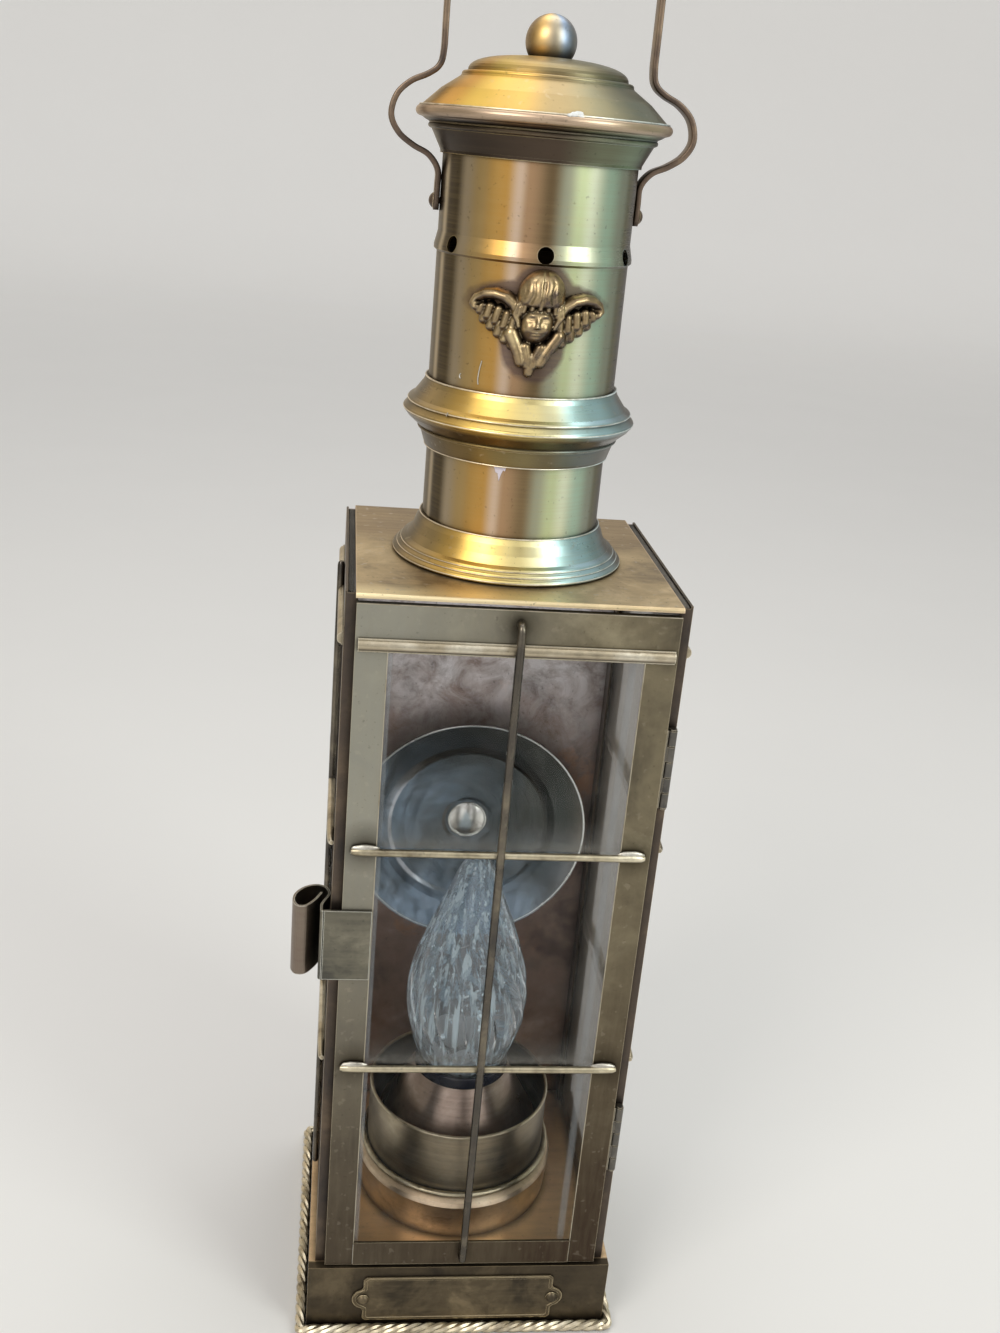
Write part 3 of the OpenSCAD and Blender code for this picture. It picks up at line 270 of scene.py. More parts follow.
def glass_pane(name, bars, haze=0.03, lean=(0.50, 0.48, 0.44), clean=(0.16, 0.16, 0.15), light_strips=()):
    """Thin pane: clear where clean, pale where dust lies near the bars and the edges.

    The strips given are (axis, place, width, share) of upright bands of painted cold light, where the pane looks milky."""
    s = Shader(name)
    x, y, z = s.split()
    dust = s.math("MULTIPLY", s.ramp(s.noise(60, 5, 0.7), [(0.45, 0.0), (0.8, 1.0)]), 0.12)
    for height in bars:
        above = s.math("DIVIDE", s.math("SUBTRACT", z, height), 14 * MM)
        band = s.ramp(above, [(0.0, 0.0), (1.0, 0.0), (0.08, 1.0), (0.35, 0.35)])
        dust = s.math("MAXIMUM", dust, s.math("MULTIPLY", band, s.noise(900, 3, 0.7)))
    rubbed = s.noise(1.0, 4, 0.6, s.scaled(120, 120, 14))
    dust = s.math("MAXIMUM", dust, s.ramp(rubbed, [(0.60, 0.0), (0.80, 0.08)]))
    # Upright bands of painted cold light on the pane
    strip_light = 0.0
    for axis, place, width, share in light_strips:
        off = s.math("ABSOLUTE", s.math("SUBTRACT", (x, y, z)[axis], place))
        band = s.ramp(s.math("DIVIDE", off, width), [(0.0, share), (1.0, 0.0), (0.7, share * 0.8)])
        strip_light = s.math("MAXIMUM", band, strip_light)
    facing = s.add("ShaderNodeLayerWeight")
    facing.inputs["Blend"].default_value = 0.18
    cover = s.math("ADD", s.math("MULTIPLY", dust, 0.62), haze)
    shade = s.mix(dust, clean, lean)
    if light_strips:
        cover = s.math("MAXIMUM", cover, strip_light)
        shade = s.mix(s.math("MINIMUM", s.math("MULTIPLY", strip_light, 2.2), 1.0), shade, (0.42, 0.46, 0.50))
    s.set(base_color=shade, roughness=0.05, metallic=0.0,
          alpha=s.math("MINIMUM", s.math("ADD", cover, s.math("MULTIPLY", facing.outputs["Fresnel"], 0.7)), 1.0))
    return s.material


def clear_bulb(name, shade=(0.97, 0.98, 1.0), streak_highlight=0.0):
    """Clear glass, with thin pale streaks of painted highlight running up it and painted glints; the last argument is
    their share.
    """
    s = Shader(name)
    streaks = s.noise(1.0, 3, 0.55, s.scaled(460, 460, 9))
    highlight_mask = s.ramp(streaks, [(0.53, streak_highlight * 0.16), (0.62, streak_highlight)])
    # Painted glints: small bright cold spots
    glints = s.ramp(s.noise(1.0, 3, 0.6, s.scaled(230, 230, 120)), [(0.63, 0.0), (0.68, streak_highlight * 1.6)])
    highlight_mask = s.math("MINIMUM", s.math("MAXIMUM", highlight_mask, glints), 1.0)
    s.set(base_color=s.mix(s.math("MINIMUM", s.math("MULTIPLY", highlight_mask, 3.0), 1.0), shade, (0.78, 0.92, 1.0)),
          roughness=0.02, ior=1.45,
          transmission_weight=s.math("SUBTRACT", 1.0, highlight_mask))
    relief = s.noise(1.0, 3, 0.6, s.scaled(160, 160, 24))
    s.set(normal=s.bump(relief, 0.2, 0.3 * MM))
    return s.material


def mirror(name, shade, rough, wave=0.03, zones=()):
    s = Shader(name)
    smears = s.noise(45, 5, 0.65, bend=0.8)
    shade = s.mix(s.ramp(smears, [(0.4, 0.0), (0.75, 0.5)]), shade, darker(shade, 0.7))
    for share, zone_shade in zones:
        shade = s.mix(share(s), shade, zone_shade)
    s.set(base_color=shade, metallic=1.0,
          roughness=s.math("ADD", s.math("MULTIPLY", smears, 0.12), rough),
          normal=s.bump(s.noise(20, 2, 0.5), wave, 0.4 * MM))
    return s.material


def worn_highlight_line(name, shade=None):
    """Bare metal along an edge, brightened and coloured as a painted highlight, broken up by what is left of the
    patina.
    """
    s = Shader(name)
    worn_highlight = s.mix(0.4, s.ramp(s.around(), RIDGE_HIGHLIGHT, smooth=True), (0.96, 0.94, 0.91)) if shade is None else shade
    left = s.ramp(s.noise(90, 5, 0.7), [(0.26, 0.1), (0.56, 1.0)])
    s.set(base_color=s.mix(left, (0.24, 0.18, 0.10), worn_highlight), metallic=0.55, roughness=0.32,
          normal=s.bump(s.noise(500, 2, 0.5), 0.2, 0.05 * MM))
    return s.material


def plastic(name, shade, rough=0.38):
    s = Shader(name)
    grain = s.noise(500, 3, 0.6)
    s.set(base_color=s.mix(s.ramp(s.noise(80, 4, 0.6), [(0.4, 0.0), (0.7, 0.5)]), shade, darker(shade, 1.9)),
          roughness=s.math("ADD", s.math("MULTIPLY", grain, 0.2), rough), normal=s.bump(grain, 0.2, 0.03 * MM))
    return s.material


def ceramic(name, shade):
    s = Shader(name)
    grain = s.noise(260, 4, 0.6)
    s.set(base_color=s.mix(s.ramp(grain, [(0.35, 0.0), (0.7, 0.4)]), shade, darker(shade, 0.75)), roughness=0.22,
          subsurface_weight=0.0, normal=s.bump(grain, 0.1, 0.05 * MM))
    return s.material


bars_low, bars_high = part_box("door_level_bars")
BAR_R = (bars_high.y - bars_low.y) / 2
BARS = [bars_low.z + BAR_R, bars_high.z - BAR_R]
trim_low, trim_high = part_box("door_top_trim")
door_low, door_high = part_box("door_frame")
TRIM_Z = (trim_low.z + trim_high.z) / 2
TRIM_R = (trim_high.z - trim_low.z) / 2
TRIM_OUT = trim_high.y - trim_low.y
FLOOR_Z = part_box("base_tray")[1].z
WALL_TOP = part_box("back_wall")[1].z
SOLDER_IN, SOLDER_UP = 5 * MM, 1.2 * MM
SOLDERED = [(Vector((x, door_low.y, z + SOLDER_UP)), 11 * MM)
            for x in (bars_low.x + SOLDER_IN, bars_high.x - SOLDER_IN) for z in BARS]
SOLDERED.append((Vector((0, door_low.y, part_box("door_upright_bar")[1].z - 2 * MM)), 9 * MM))
STILE = 10.6 * MM
BAND_OUT = 1.0 * MM
ORNAMENT_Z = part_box("cherub_ornament")[0].z + 18.5 * MM
HALO = [(-0.6, 4.0, 21.5, 7.4), (-1.4, -6.0, 10.5, 13.5), (0.5, 7.0, 9.6, 9.6)]
COLLAR_RIM_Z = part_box("chimney_collar")[0].z + 12.4 * MM
CAP_STEP_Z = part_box("cap_dome")[1].z - 5.4 * MM
LATCH_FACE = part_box("latch_tongue")[1].x


def floor_share(s):
    return s.past(2, FLOOR_Z - 0.3 * MM)


def haze_share(s):
    """Grey-mauve bloom on the upper part of the back wall."""
    height = s.math("DIVIDE", s.math("SUBTRACT", WALL_TOP, s.split()[2]), 110 * MM)
    fade = s.ramp(height, [(0.0, 1.0), (1.0, 0.0), (0.55, 0.85)])
    return s.math("MULTIPLY", fade, s.ramp(s.noise(70, 6, 0.72, bend=0.6), [(0.32, 0.1), (0.60, 1.0)]))


def low_shade_share(s):
    """Painted shade: grows down the door, which is darker towards the foot, most of all at the right."""
    down = s.ramp(s.math("DIVIDE", s.split()[2], 240 * MM), [(0.20, 1.0), (0.95, 0.0)])
    right = s.ramp(s.math("DIVIDE", s.split()[0], 100 * MM), [(0.0, 0.82), (0.40, 1.0)])
    return s.math("MULTIPLY", down, right)


def left_reflection_share(s):
    """Painted cold reflection over the left half of the door."""
    across = s.math("ADD", s.math("DIVIDE", s.split()[0], 100 * MM), 0.5)
    high = s.ramp(s.math("DIVIDE", s.split()[2], 240 * MM), [(0.35, 0.35), (0.95, 1.0)])
    return s.math("MULTIPLY", s.ramp(across, [(0.10, 0.72), (0.75, 0.05)]), high)


def flare_shade_share(s):
    """Painted shade on the flare below the collar's rim, which looks down."""
    return s.math("MULTIPLY", s.math("SUBTRACT", 1.0, s.past(2, COLLAR_RIM_Z - 1.5 * MM, 1 * MM)),
                  s.math("MULTIPLY", s.past(2, COLLAR_RIM_Z - 14 * MM, 1 * MM), 0.78))


def inside_share(s):
    """The lantern's floor and the ledges beside and behind the walls."""
    return s.math("MULTIPLY", floor_share(s), s.past(1, door_high.y, 1 * MM))


def outside_share(s):
    """The back wall's outer face, which the soot and the damp inside leave alone."""
    own = s.add("ShaderNodeNewGeometry")
    node = s.add("ShaderNodeSeparateXYZ")
    s.link(own.outputs["Normal"], node.inputs[0])
    return s.ramp(node.outputs[1], [(0.30, 0.0), (0.60, 0.94)])


def rust_share(s):
    return s.ramp(s.noise(34, 5, 0.7), [(0.60, 0.0), (0.70, 0.5)])


def dish_reflection_share(s):
    """Painted cold reflection over the reflector, thick at its foot and at the left."""
    low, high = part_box("reflector")
    up = s.math("DIVIDE", s.math("SUBTRACT", s.split()[2], low.z), high.z - low.z)
    over = s.math("DIVIDE", s.math("SUBTRACT", s.split()[0], low.x), high.x - low.x)
    film = s.math("MAXIMUM", s.ramp(up, [(0.10, 0.85), (0.50, 0.0)]),
                  s.math("MULTIPLY", s.ramp(over, [(0.30, 0.9), (0.75, 0.0)]), s.ramp(up, [(0.70, 1.0), (0.95, 0.2)])))
    return s.math("MULTIPLY", film, s.ramp(s.noise(38, 5, 0.6, bend=0.7), [(0.35, 0.25), (0.60, 1.0)]))


def rear_share(s):
    """The roof behind the chimney is brown."""
    return s.math("MULTIPLY", s.past(1, 10 * MM, 16 * MM), 0.8)


def front_wear_highlight_share(s):
    """The roof is worn bright along its front lip, with a painted highlight there, most of all at the left."""
    near = s.math("SUBTRACT", 1.0, s.past(1, -46 * MM, 8 * MM))
    left = s.ramp(s.math("ADD", s.math("DIVIDE", s.split()[0], 110 * MM), 0.5), [(0.30, 0.85), (0.85, 0.1)])
    return s.math("MULTIPLY", near, left)


def loop_light_share(s):
    """Painted light inside the finger loop, further from the lantern than the clip's face."""
    return s.math("MULTIPLY", s.math("SUBTRACT", 1.0, s.past(0, LATCH_FACE - 5.6 * MM, 1.6 * MM)), 0.8)


def crown_share(s):
    return s.math("MULTIPLY", s.past(2, CAP_STEP_Z, 0.8 * MM), 0.5)


# Painted highlight along the rolled top of the cap's skirt
def rim_highlight_share(s):
    return s.math("MULTIPLY", s.past(2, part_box("cap_skirt")[1].z - 3.3 * MM, 0.8 * MM), 0.8)


def halo_share(s):
    """Dark patina round the relief on the upper tube."""
    x, y, z = s.split()
    share = -1.0
    for middle_x, middle_z, half_wide, half_high in HALO:
        across = s.math("DIVIDE", s.math("SUBTRACT", x, middle_x * MM), half_wide * MM)
        along = s.math("DIVIDE", s.math("SUBTRACT", z, ORNAMENT_Z + middle_z * MM), half_high * MM)
        away = s.math("ADD", s.math("MULTIPLY", across, across), s.math("MULTIPLY", along, along))
        share = s.math("MAXIMUM", s.math("SUBTRACT", 1.5, away), share)
    share = s.math("ADD", share, s.math("MULTIPLY", s.math("SUBTRACT", s.noise(160, 4, 0.6), 0.5), 0.5))
    front = s.math("LESS_THAN", y, 0.0)
    return s.math("MULTIPLY", s.ramp(share, [(0.30, 0.0), (0.62, 0.85)]), front)


looks = {
    "tube": brass("tube_brass", *GOLD, rough=0.25, brush=(14, 14, 1500), patch=16, reflection_tint=ROUND_REFLECTION, reflection_share=0.9,
                  streak=0.15, edge_reflection=RIDGE_HIGHLIGHT, wear_and_highlight=0.7, cold_sheen=0.015, zones=[(halo_share, (0.150, 0.098, 0.086))]),
    "turned": brass("turned_brass", *GOLD, rough=0.25, brush=(14, 14, 1300), patch=30, wear_and_highlight=1.0, corner=2.0 * MM,
                    streak=0.15, reflection_tint=RIM_REFLECTION, reflection_share=0.95, edge_reflection=RIDGE_HIGHLIGHT, crevice_shade=0.9, worn_reach=0.6 * MM, dust=0.2,
                    cold_sheen=0.02, zones=[(flare_shade_share, (0.050, 0.036, 0.020))]),
    "cap": brass("cap_brass", *GOLD, rough=0.30, brush=(60, 60, 500), patch=34, wear_and_highlight=0.8, reflection_tint=CAP_REFLECTION,
                 reflection_share=0.85, edge_reflection=RIDGE_HIGHLIGHT, crevice_shade=0.85, corner=3 * MM, dust=0.15, streak=0.12,
                 cold_sheen=0.02, zones=[(crown_share, (0.17, 0.148, 0.078))]),
    "skirt": brass("skirt_brass", (0.015, 0.010, 0.007), (0.042, 0.028, 0.017), (0.115, 0.080, 0.045), rough=0.28,
                   brush=(14, 14, 900), patch=34, wear_and_highlight=1.0, reflection_tint=SKIRT_REFLECTION, reflection_share=0.85, edge_reflection=RIDGE_HIGHLIGHT,
                   under=0.3, cold_sheen=0.02, zones=[(rim_highlight_share, (0.74, 0.55, 0.39))], crevice_shade=0.9, corner=2.2 * MM, worn_reach=0.6 * MM),
    "ball": brass("ball_brass", (0.14, 0.095, 0.05), (0.40, 0.29, 0.15), (0.66, 0.52, 0.32), rough=0.34,
                  brush=(40, 40, 300), patch=60, under=0.3,
                  # Painted reflections round the ball: warm at the left, cold at the right
                  reflection_tint=[(0.0, (0.3, 0.24, 0.16)), (1.0, (0.3, 0.24, 0.16)), (0.30, (0.30, 0.20, 0.09)),
                        (0.40, (0.98, 0.62, 0.19)), (0.51, (0.52, 0.46, 0.33)), (0.58, (0.31, 0.47, 0.70)),
                        (0.66, (0.26, 0.30, 0.36))], reflection_share=0.85),
    "ornament": brass("ornament_brass", (0.070, 0.040, 0.028), (0.42, 0.29, 0.13), (0.80, 0.62, 0.32), rough=0.24,
                      brush=(400, 400, 400), patch=110, wear_and_highlight=1.0, worn_reach=0.8 * MM, corner=3.4 * MM, crevice_shade=1.0,
                      edge=(1.0, 0.93, 0.72), under=0.9),
    "roof": brass("roof_brass", (0.27, 0.19, 0.095), (0.58, 0.435, 0.23), (0.82, 0.65, 0.40), rough=0.38,
                  brush=(30, 900, 900), patch=40, speck=0.6, edge=(0.98, 0.78, 0.56), wear_and_highlight=0.9, dust=0.55,
                  worn_reach=0.8 * MM, zones=[(rear_share, (0.30, 0.20, 0.095)), (front_wear_highlight_share, (1.0, 0.84, 0.50))]),
    "door": brass("door_brass", *RAIL, rough=0.36, brush=(500, 500, 60), patch=24, speck=0.25, halo=SOLDERED,
                  streak=0.12, wear_and_highlight=0.8, edge=(0.72, 0.62, 0.44), dust=0.1,
                  cold_sheen=0.022, zones=[(left_reflection_share, (0.40, 0.40, 0.35)), (low_shade_share, (0.050, 0.029, 0.014))]),
    "base": brass("base_brass", *BASE, cold_sheen=0.025, rough=0.40, brush=(50, 300, 300), patch=32, speck=0.3, wear_and_highlight=0.8, streak=0.2,
                  edge=(0.55, 0.43, 0.26), zones=[(inside_share, (0.98, 0.72, 0.44))]),
    "plate": brass("plate_brass", (0.046, 0.034, 0.018), (0.125, 0.094, 0.052), (0.26, 0.20, 0.115), rough=0.34, cold_sheen=0.03,
                   brush=(50, 400, 400), patch=60, speck=0.2, wear_and_highlight=1.0, corner=1.5 * MM, edge=(0.80, 0.66, 0.42)),
    "frame": brass("frame_brass", *BROWN, rough=0.36, brush=(500, 500, 40), patch=36, wear_and_highlight=0.8,
                   edge=(0.50, 0.40, 0.26)),
    "back": brass("back_brass", (0.11, 0.068, 0.052), (0.30, 0.20, 0.16), (0.50, 0.38, 0.33), rough=0.46,
                  brush=(40, 40, 8), patch=26, speck=0.4, crevice_shade=0.4, dent=0.03,
                  zones=[(rust_share, (0.60, 0.26, 0.09)), (haze_share, (1.0, 0.97, 1.0)),
                         (outside_share, (0.105, 0.078, 0.045))]),
    "bar": brass("bar_brass", (0.22, 0.175, 0.10), (0.58, 0.50, 0.33), (0.88, 0.80, 0.60), rough=0.26,
                 brush=(300, 300, 300), patch=60, wear_and_highlight=0.6, crevice_shade=0.7, corner=1.5 * MM, edge=(0.98, 0.92, 0.76)),
    "trim": brass("trim_brass", (0.22, 0.175, 0.11), (0.54, 0.455, 0.31), (0.84, 0.78, 0.64), rough=0.30,
                  brush=(60, 300, 300), patch=50, wear_and_highlight=1.0, corner=1.5 * MM, edge=(0.95, 0.88, 0.72),
                  worn_reach=0.6 * MM, streak=0.06, under=0.9),
    "bar_dark": brass("bar_dark_brass", (0.022, 0.017, 0.012), (0.068, 0.053, 0.034), (0.20, 0.165, 0.11), rough=0.20,
                      brush=(300, 300, 60), patch=60, wear_and_highlight=0.5, crevice_shade=0.6, corner=1.5 * MM),
    "solder": brass("solder_tin", (0.30, 0.27, 0.22), (0.62, 0.58, 0.50), (0.90, 0.87, 0.78), rough=0.30,
                    brush=(300, 300, 300), patch=120, wear_and_highlight=0.4, corner=1 * MM, edge=(0.96, 0.94, 0.86)),
    "rope": brass("rope_brass", (0.24, 0.18, 0.10), (0.74, 0.63, 0.43), (1.0, 0.93, 0.75), rough=0.28,
                  brush=(300, 300, 300), patch=50, wear_and_highlight=0.9, crevice_shade=1.0, corner=1.4 * MM, worn_reach=0.5 * MM,
                  edge=(0.98, 0.92, 0.74)),
    "copper": brass("copper_brass", *COPPER, rough=0.30, brush=(200, 200, 200), patch=50, wear_and_highlight=0.9,
                    edge=(0.80, 0.64, 0.44)),
    "hinge": brass("hinge_brass", (0.035, 0.031, 0.026), (0.11, 0.098, 0.078), (0.26, 0.23, 0.18), rough=0.30,
                   brush=(200, 200, 200), patch=50, wear_and_highlight=0.9, edge=(0.66, 0.58, 0.42), corner=1.2 * MM),
    "drum": brass("drum_brass", *ORANGE, rough=0.28, brush=(14, 14, 1200), patch=30, wear_and_highlight=0.8,
                  edge=(1.0, 0.78, 0.46)),
    "cup": brass("cup_brass", (0.095, 0.072, 0.040), (0.27, 0.21, 0.125), (0.50, 0.42, 0.28), rough=0.26,
                 brush=(14, 14, 1200), patch=26, wear_and_highlight=1.0),
    "cone": brass("cone_brass", (0.13, 0.085, 0.060), (0.34, 0.245, 0.19), (0.56, 0.44, 0.36), rough=0.24,
                  brush=(14, 14, 900), patch=40, wear_and_highlight=0.6),
    "latch": brass("latch_brass", (0.038, 0.034, 0.022), (0.125, 0.112, 0.075), (0.28, 0.255, 0.18), rough=0.30,
                   brush=(60, 60, 500), patch=40, wear_and_highlight=1.0, edge=(0.88, 0.88, 0.80), worn_reach=0.6 * MM,
                   zones=[(loop_light_share, (0.21, 0.145, 0.105))]),
    "pane": glass_pane("door_pane", BARS, haze=0.012,
                       light_strips=[(0, -42.0 * MM, 1.8 * MM, 0.30), (0, 38.5 * MM, 1.6 * MM, 0.22)]),
    "side_pane": glass_pane("side_pane", BARS, haze=0.05, lean=(0.66, 0.61, 0.53), clean=(0.46, 0.43, 0.38)),
    "bulb": clear_bulb("bulb_clear", (0.90, 0.95, 1.0), streak_highlight=0.56),
    "bulb_inner": clear_bulb("stem_clear", (0.95, 0.95, 0.93)),
    "mount": ceramic("mount_white", (0.84, 0.78, 0.75)),
    "mirror": mirror("reflector_mirror", (0.16, 0.148, 0.125), 0.09,
                     zones=[(dish_reflection_share, (0.50, 0.55, 0.62))]),
    "nickel": mirror("nickel", (0.92, 0.92, 0.88), 0.20),
    "worn_highlight": worn_highlight_line("worn_highlight_metal"),
    "worn_highlight_edge": worn_highlight_line("worn_highlight_edge_metal", (0.50, 0.45, 0.35)),
    "filament": mirror("filament_wire", (0.55, 0.50, 0.45), 0.3),
    "plastic": plastic("dark_plastic", (0.010, 0.012, 0.022), 0.10),
    "chip": ceramic("white_chip", (0.90, 0.92, 0.92)),
    "bloom": ceramic("lilac_chip", (0.72, 0.66, 0.74)),
}

dressing = {
    "tube": ["lower_chimney_tube", "upper_chimney_tube"],
    "turned": ["chimney_flange", "chimney_collar"],
    "cap": ["cap_dome", "finial_screw"],
    "skirt": ["cap_skirt"],
    "ball": ["finial_ball"],
    "roof": ["roof_plate"],
    "door": ["door_frame", "door_bottom_strip", "door_glass_clips"],
    "base": ["base_tray", "base_bottom_plate"],
    "plate": ["name_plate_rivets"],
    "frame": ["left_side_frame", "right_side_frame"],
    "back": ["back_wall"],
    "bar": ["drum_bead", "socket_shell"],
    "copper": ["bail_rivets"],
    "hinge": ["hinge_body_leaves", "hinge_door_leaves", "hinge_pins"],
    "drum": ["lamp_drum"],
    "cup": ["lamp_cup", "lamp_nipple", "nipple_nuts", "reflector_nut"],
    "cone": ["lamp_cone"],
    "latch": ["latch_plate", "latch_tongue"],
    "pane": ["door_glass"],
    "side_pane": ["left_side_glass", "right_side_glass"],
    "mirror": ["reflector"],
    "nickel": ["reflector_button", "socket_contact", "bulb_cap"],
    "plastic": ["cord_bush", "socket_collar", "socket_body"],
}
for look, names in dressing.items():
    for name in names:
        mesh = nodes[name].data
        mesh.materials.clear()
        mesh.materials.append(looks[look])


# Mesh helpers

FRONT = Vector((0, -1, 0))


def smooth_line(points, steps):
    """Smooth line through given points, with a few steps between each two."""
    points = [Vector(p) for p in points]
    line = []
    for i in range(len(points) - 1):
        a, b = points[max(i - 1, 0)], points[i]
        c, d = points[i + 1], points[min(i + 2, len(points) - 1)]
        for k in range(steps):
            t = k / steps
            line.append(0.5 * (2 * b + (c - a) * t + (2 * a - 5 * b + 4 * c - d) * t ** 2
                               + (3 * b - a - 3 * c + d) * t ** 3))
    line.append(points[-1])
    return line


def new_piece(name, points, faces, look, body, replaced=(), sharp=40):
    mesh = bpy.data.meshes.new(name)
    mesh.from_pydata([tuple(p) for p in points], [], faces)
    work = bmesh.new()
    work.from_mesh(mesh)
    bmesh.ops.remove_doubles(work, verts=work.verts, dist=1e-6)
    bmesh.ops.recalc_face_normals(work, faces=work.faces)
    work.to_mesh(mesh)
    work.free()
    mesh.shade_smooth()
    mesh.set_sharp_from_angle(angle=math.radians(sharp))
    mesh.materials.append(looks[look])
    piece = bpy.data.objects.new(name, mesh)
    bpy.context.scene.collection.objects.link(piece)
    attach(piece, body)
    if replaced:
        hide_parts(*replaced)
    return piece


def joined(name, parts, look, body, replaced=(), sharp=40):
    """One piece made of several (points, faces) lists."""
    points, faces = [], []
    for some_points, some_faces in parts:
        start = len(points)
        points += some_points
        faces += [tuple(start + i for i in face) for face in some_faces]
    return new_piece(name, points, faces, look, body, replaced, sharp)


def swept(line, section, closed=False, up=Vector((0, 0, 1))):
    """Points and faces of a section carried along a line. section(share) gives (sideways, upward) offsets."""
    count = len(line)
    points, faces = [], []
    side = None
    for i, place in enumerate(line):
        ahead = line[(i + 1) % count] if closed else line[min(i + 1, count - 1)]
        behind = line[i - 1] if closed or i else line[0]
        along = (ahead - behind).normalized()
        if side is None:
            side = along.cross(up)
            if side.length < 0.1:
                side = along.cross(Vector((1, 0, 0)))
        side = (side - side.dot(along) * along).normalized()
        top = side.cross(along)
        ring = section(i / (count - (0 if closed else 1)))
        points += [place + a * side + b * top for a, b in ring]
    per = len(ring)
    for i in range(count if closed else count - 1):
        for k in range(per):
            a, b = i * per + k, i * per + (k + 1) % per
            c, d = (b + per) % len(points), (a + per) % len(points)
            faces.append((a, b, c, d))
    if not closed:
        faces.append(tuple(range(per)))
        faces.append(tuple(range(len(points) - per, len(points))))
    return points, faces


def round_section(r, sides=12, flat=1.0):
    return [(r * math.cos(2 * math.pi * k / sides), r * flat * math.sin(2 * math.pi * k / sides))
            for k in range(sides)]


def turned(outline, steps=128, middle=Vector((0, 0, 0)), ripple=None):
    """A closed outline of (radius, height) turned round the Z axis. ripple(turn, i) scales the radius."""
    points, faces = [], []
    per = len(outline)
    for k in range(steps):
        turn = 2 * math.pi * k / steps
        for i, (r, z) in enumerate(outline):
            share = ripple(turn, i) if ripple else 1.0
            points.append(middle + Vector((r * share * math.sin(turn), -r * share * math.cos(turn), z)))
    for k in range(steps):
        for i in range(per):
            if outline[i][0] == 0 and outline[(i + 1) % per][0] == 0:
                continue
            a, b = k * per + i, k * per + (i + 1) % per
            faces.append((a, b, (b + per) % len(points), (a + per) % len(points)))
    return points, faces


def blob(middle, size, steps=10, rough=0.12, seed=1):
    """A small uneven lump, such as solder."""
    rng = random.Random(seed)
    points, faces = [], []
    around = 2 * steps
    for i in range(steps + 1):
        rise = math.pi * i / steps
        for k in range(around):
            turn = 2 * math.pi * k / around
            out = 1 + rough * (rng.random() - 0.5)
            points.append(middle + Vector((size[0] * math.sin(rise) * math.cos(turn) * out,
                                           size[1] * math.cos(rise),
                                           size[2] * math.sin(rise) * math.sin(turn) * out)))
    for i in range(steps):
        for k in range(around):
            a, b = i * around + k, i * around + (k + 1) % around
            faces.append((a, b, b + around, a + around))
    faces.append(tuple(range(around)))
    faces.append(tuple(range(steps * around, (steps + 1) * around)))
    return points, faces


# Rope moulding round the foot: three strands laid round a closed line

def rope_moulding():
    low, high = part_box("rope_trim")
    thick = high.z - low.z
    half_x, half_y = high.x - thick / 2, high.y - thick / 2
    bend = 1.2 * MM
    per_bend = 5
    path = []
    for sx, sy, start in ((1, -1, -90), (1, 1, 0), (-1, 1, 90), (-1, -1, 180)):
        middle = Vector((sx * (half_x - bend), sy * (half_y - bend), low.z + thick / 2))
        for i in range(per_bend + 1):
            turn = math.radians(start + 90 * i / per_bend)
            path.append(middle + bend * Vector((math.cos(turn), math.sin(turn), 0)))
    step = 1.0 * MM
    line = []
    for i, a in enumerate(path):
        b = path[(i + 1) % len(path)]
        parts = max(1, round((b - a).length / step))
        line += [a.lerp(b, k / parts) for k in range(parts)]
    strands, lay = 3, 15 * MM
    length = sum((line[i] - line[i - 1]).length for i in range(len(line)))
    turns = round(length / lay)
    strand_r = 0.285 * thick
    parts = []
    for s in range(strands):
        done = 0.0
        centre = []
        for i, place in enumerate(line):
            ahead = (line[(i + 1) % len(line)] - line[i - 1]).normalized()
            side = ahead.cross(Vector((0, 0, 1)))
            turn = 2 * math.pi * (turns * done / length + s / strands)
            out = thick / 2 - strand_r
            centre.append(place + out * (math.cos(turn) * side + math.sin(turn) * Vector((0, 0, 1))))
            done += (line[(i + 1) % len(line)] - place).length
        parts.append(swept(centre, lambda share: round_section(strand_r, 8), closed=True))
    joined("rope_moulding", parts, "rope", "lantern", ["rope_trim"])


# Guard bars: round wire with its ends hammered flat and soldered down

def wire_bar(start, end, r, flat_length, out):
    """Points and faces of a level bar from start to end. out is the way it stands off its frame."""
    along = (end - start).normalized()
    length = (end - start).length
    shares = [0, 0.15, 0.5, 0.8, 1, 1.25]
    places = [flat_length * s for s in shares]
    places += [length - p for p in reversed(places)]
    line = [start + along * p for p in places]
    across = out.cross(along)

    def section_at(i):
        near_end = min(i, len(line) - 1 - i)
        flat = (0.62, 0.84, 0.92, 0.95, 0.98, 1.0)[near_end]
        wide = (0.70, 1.02, 1.10, 1.10, 1.04, 1.0)[near_end]
        return flat, wide

    sides = 12
    points, faces = [], []
    for i, place in enumerate(line):
        flat, wide = section_at(i)
        down = -out * r * (1 - flat)
        for k in range(sides):
            turn = 2 * math.pi * k / sides
            points.append(place + down + out * r * flat * math.cos(turn) + across * r * wide * math.sin(turn))
    for i in range(len(line) - 1):
        for k in range(sides):
            a, b = i * sides + k, i * sides + (k + 1) % sides
            faces.append((a, b, b + sides, a + sides))
    faces.append(tuple(range(sides)))
    faces.append(tuple(range(len(points) - sides, len(points))))
    return points, faces


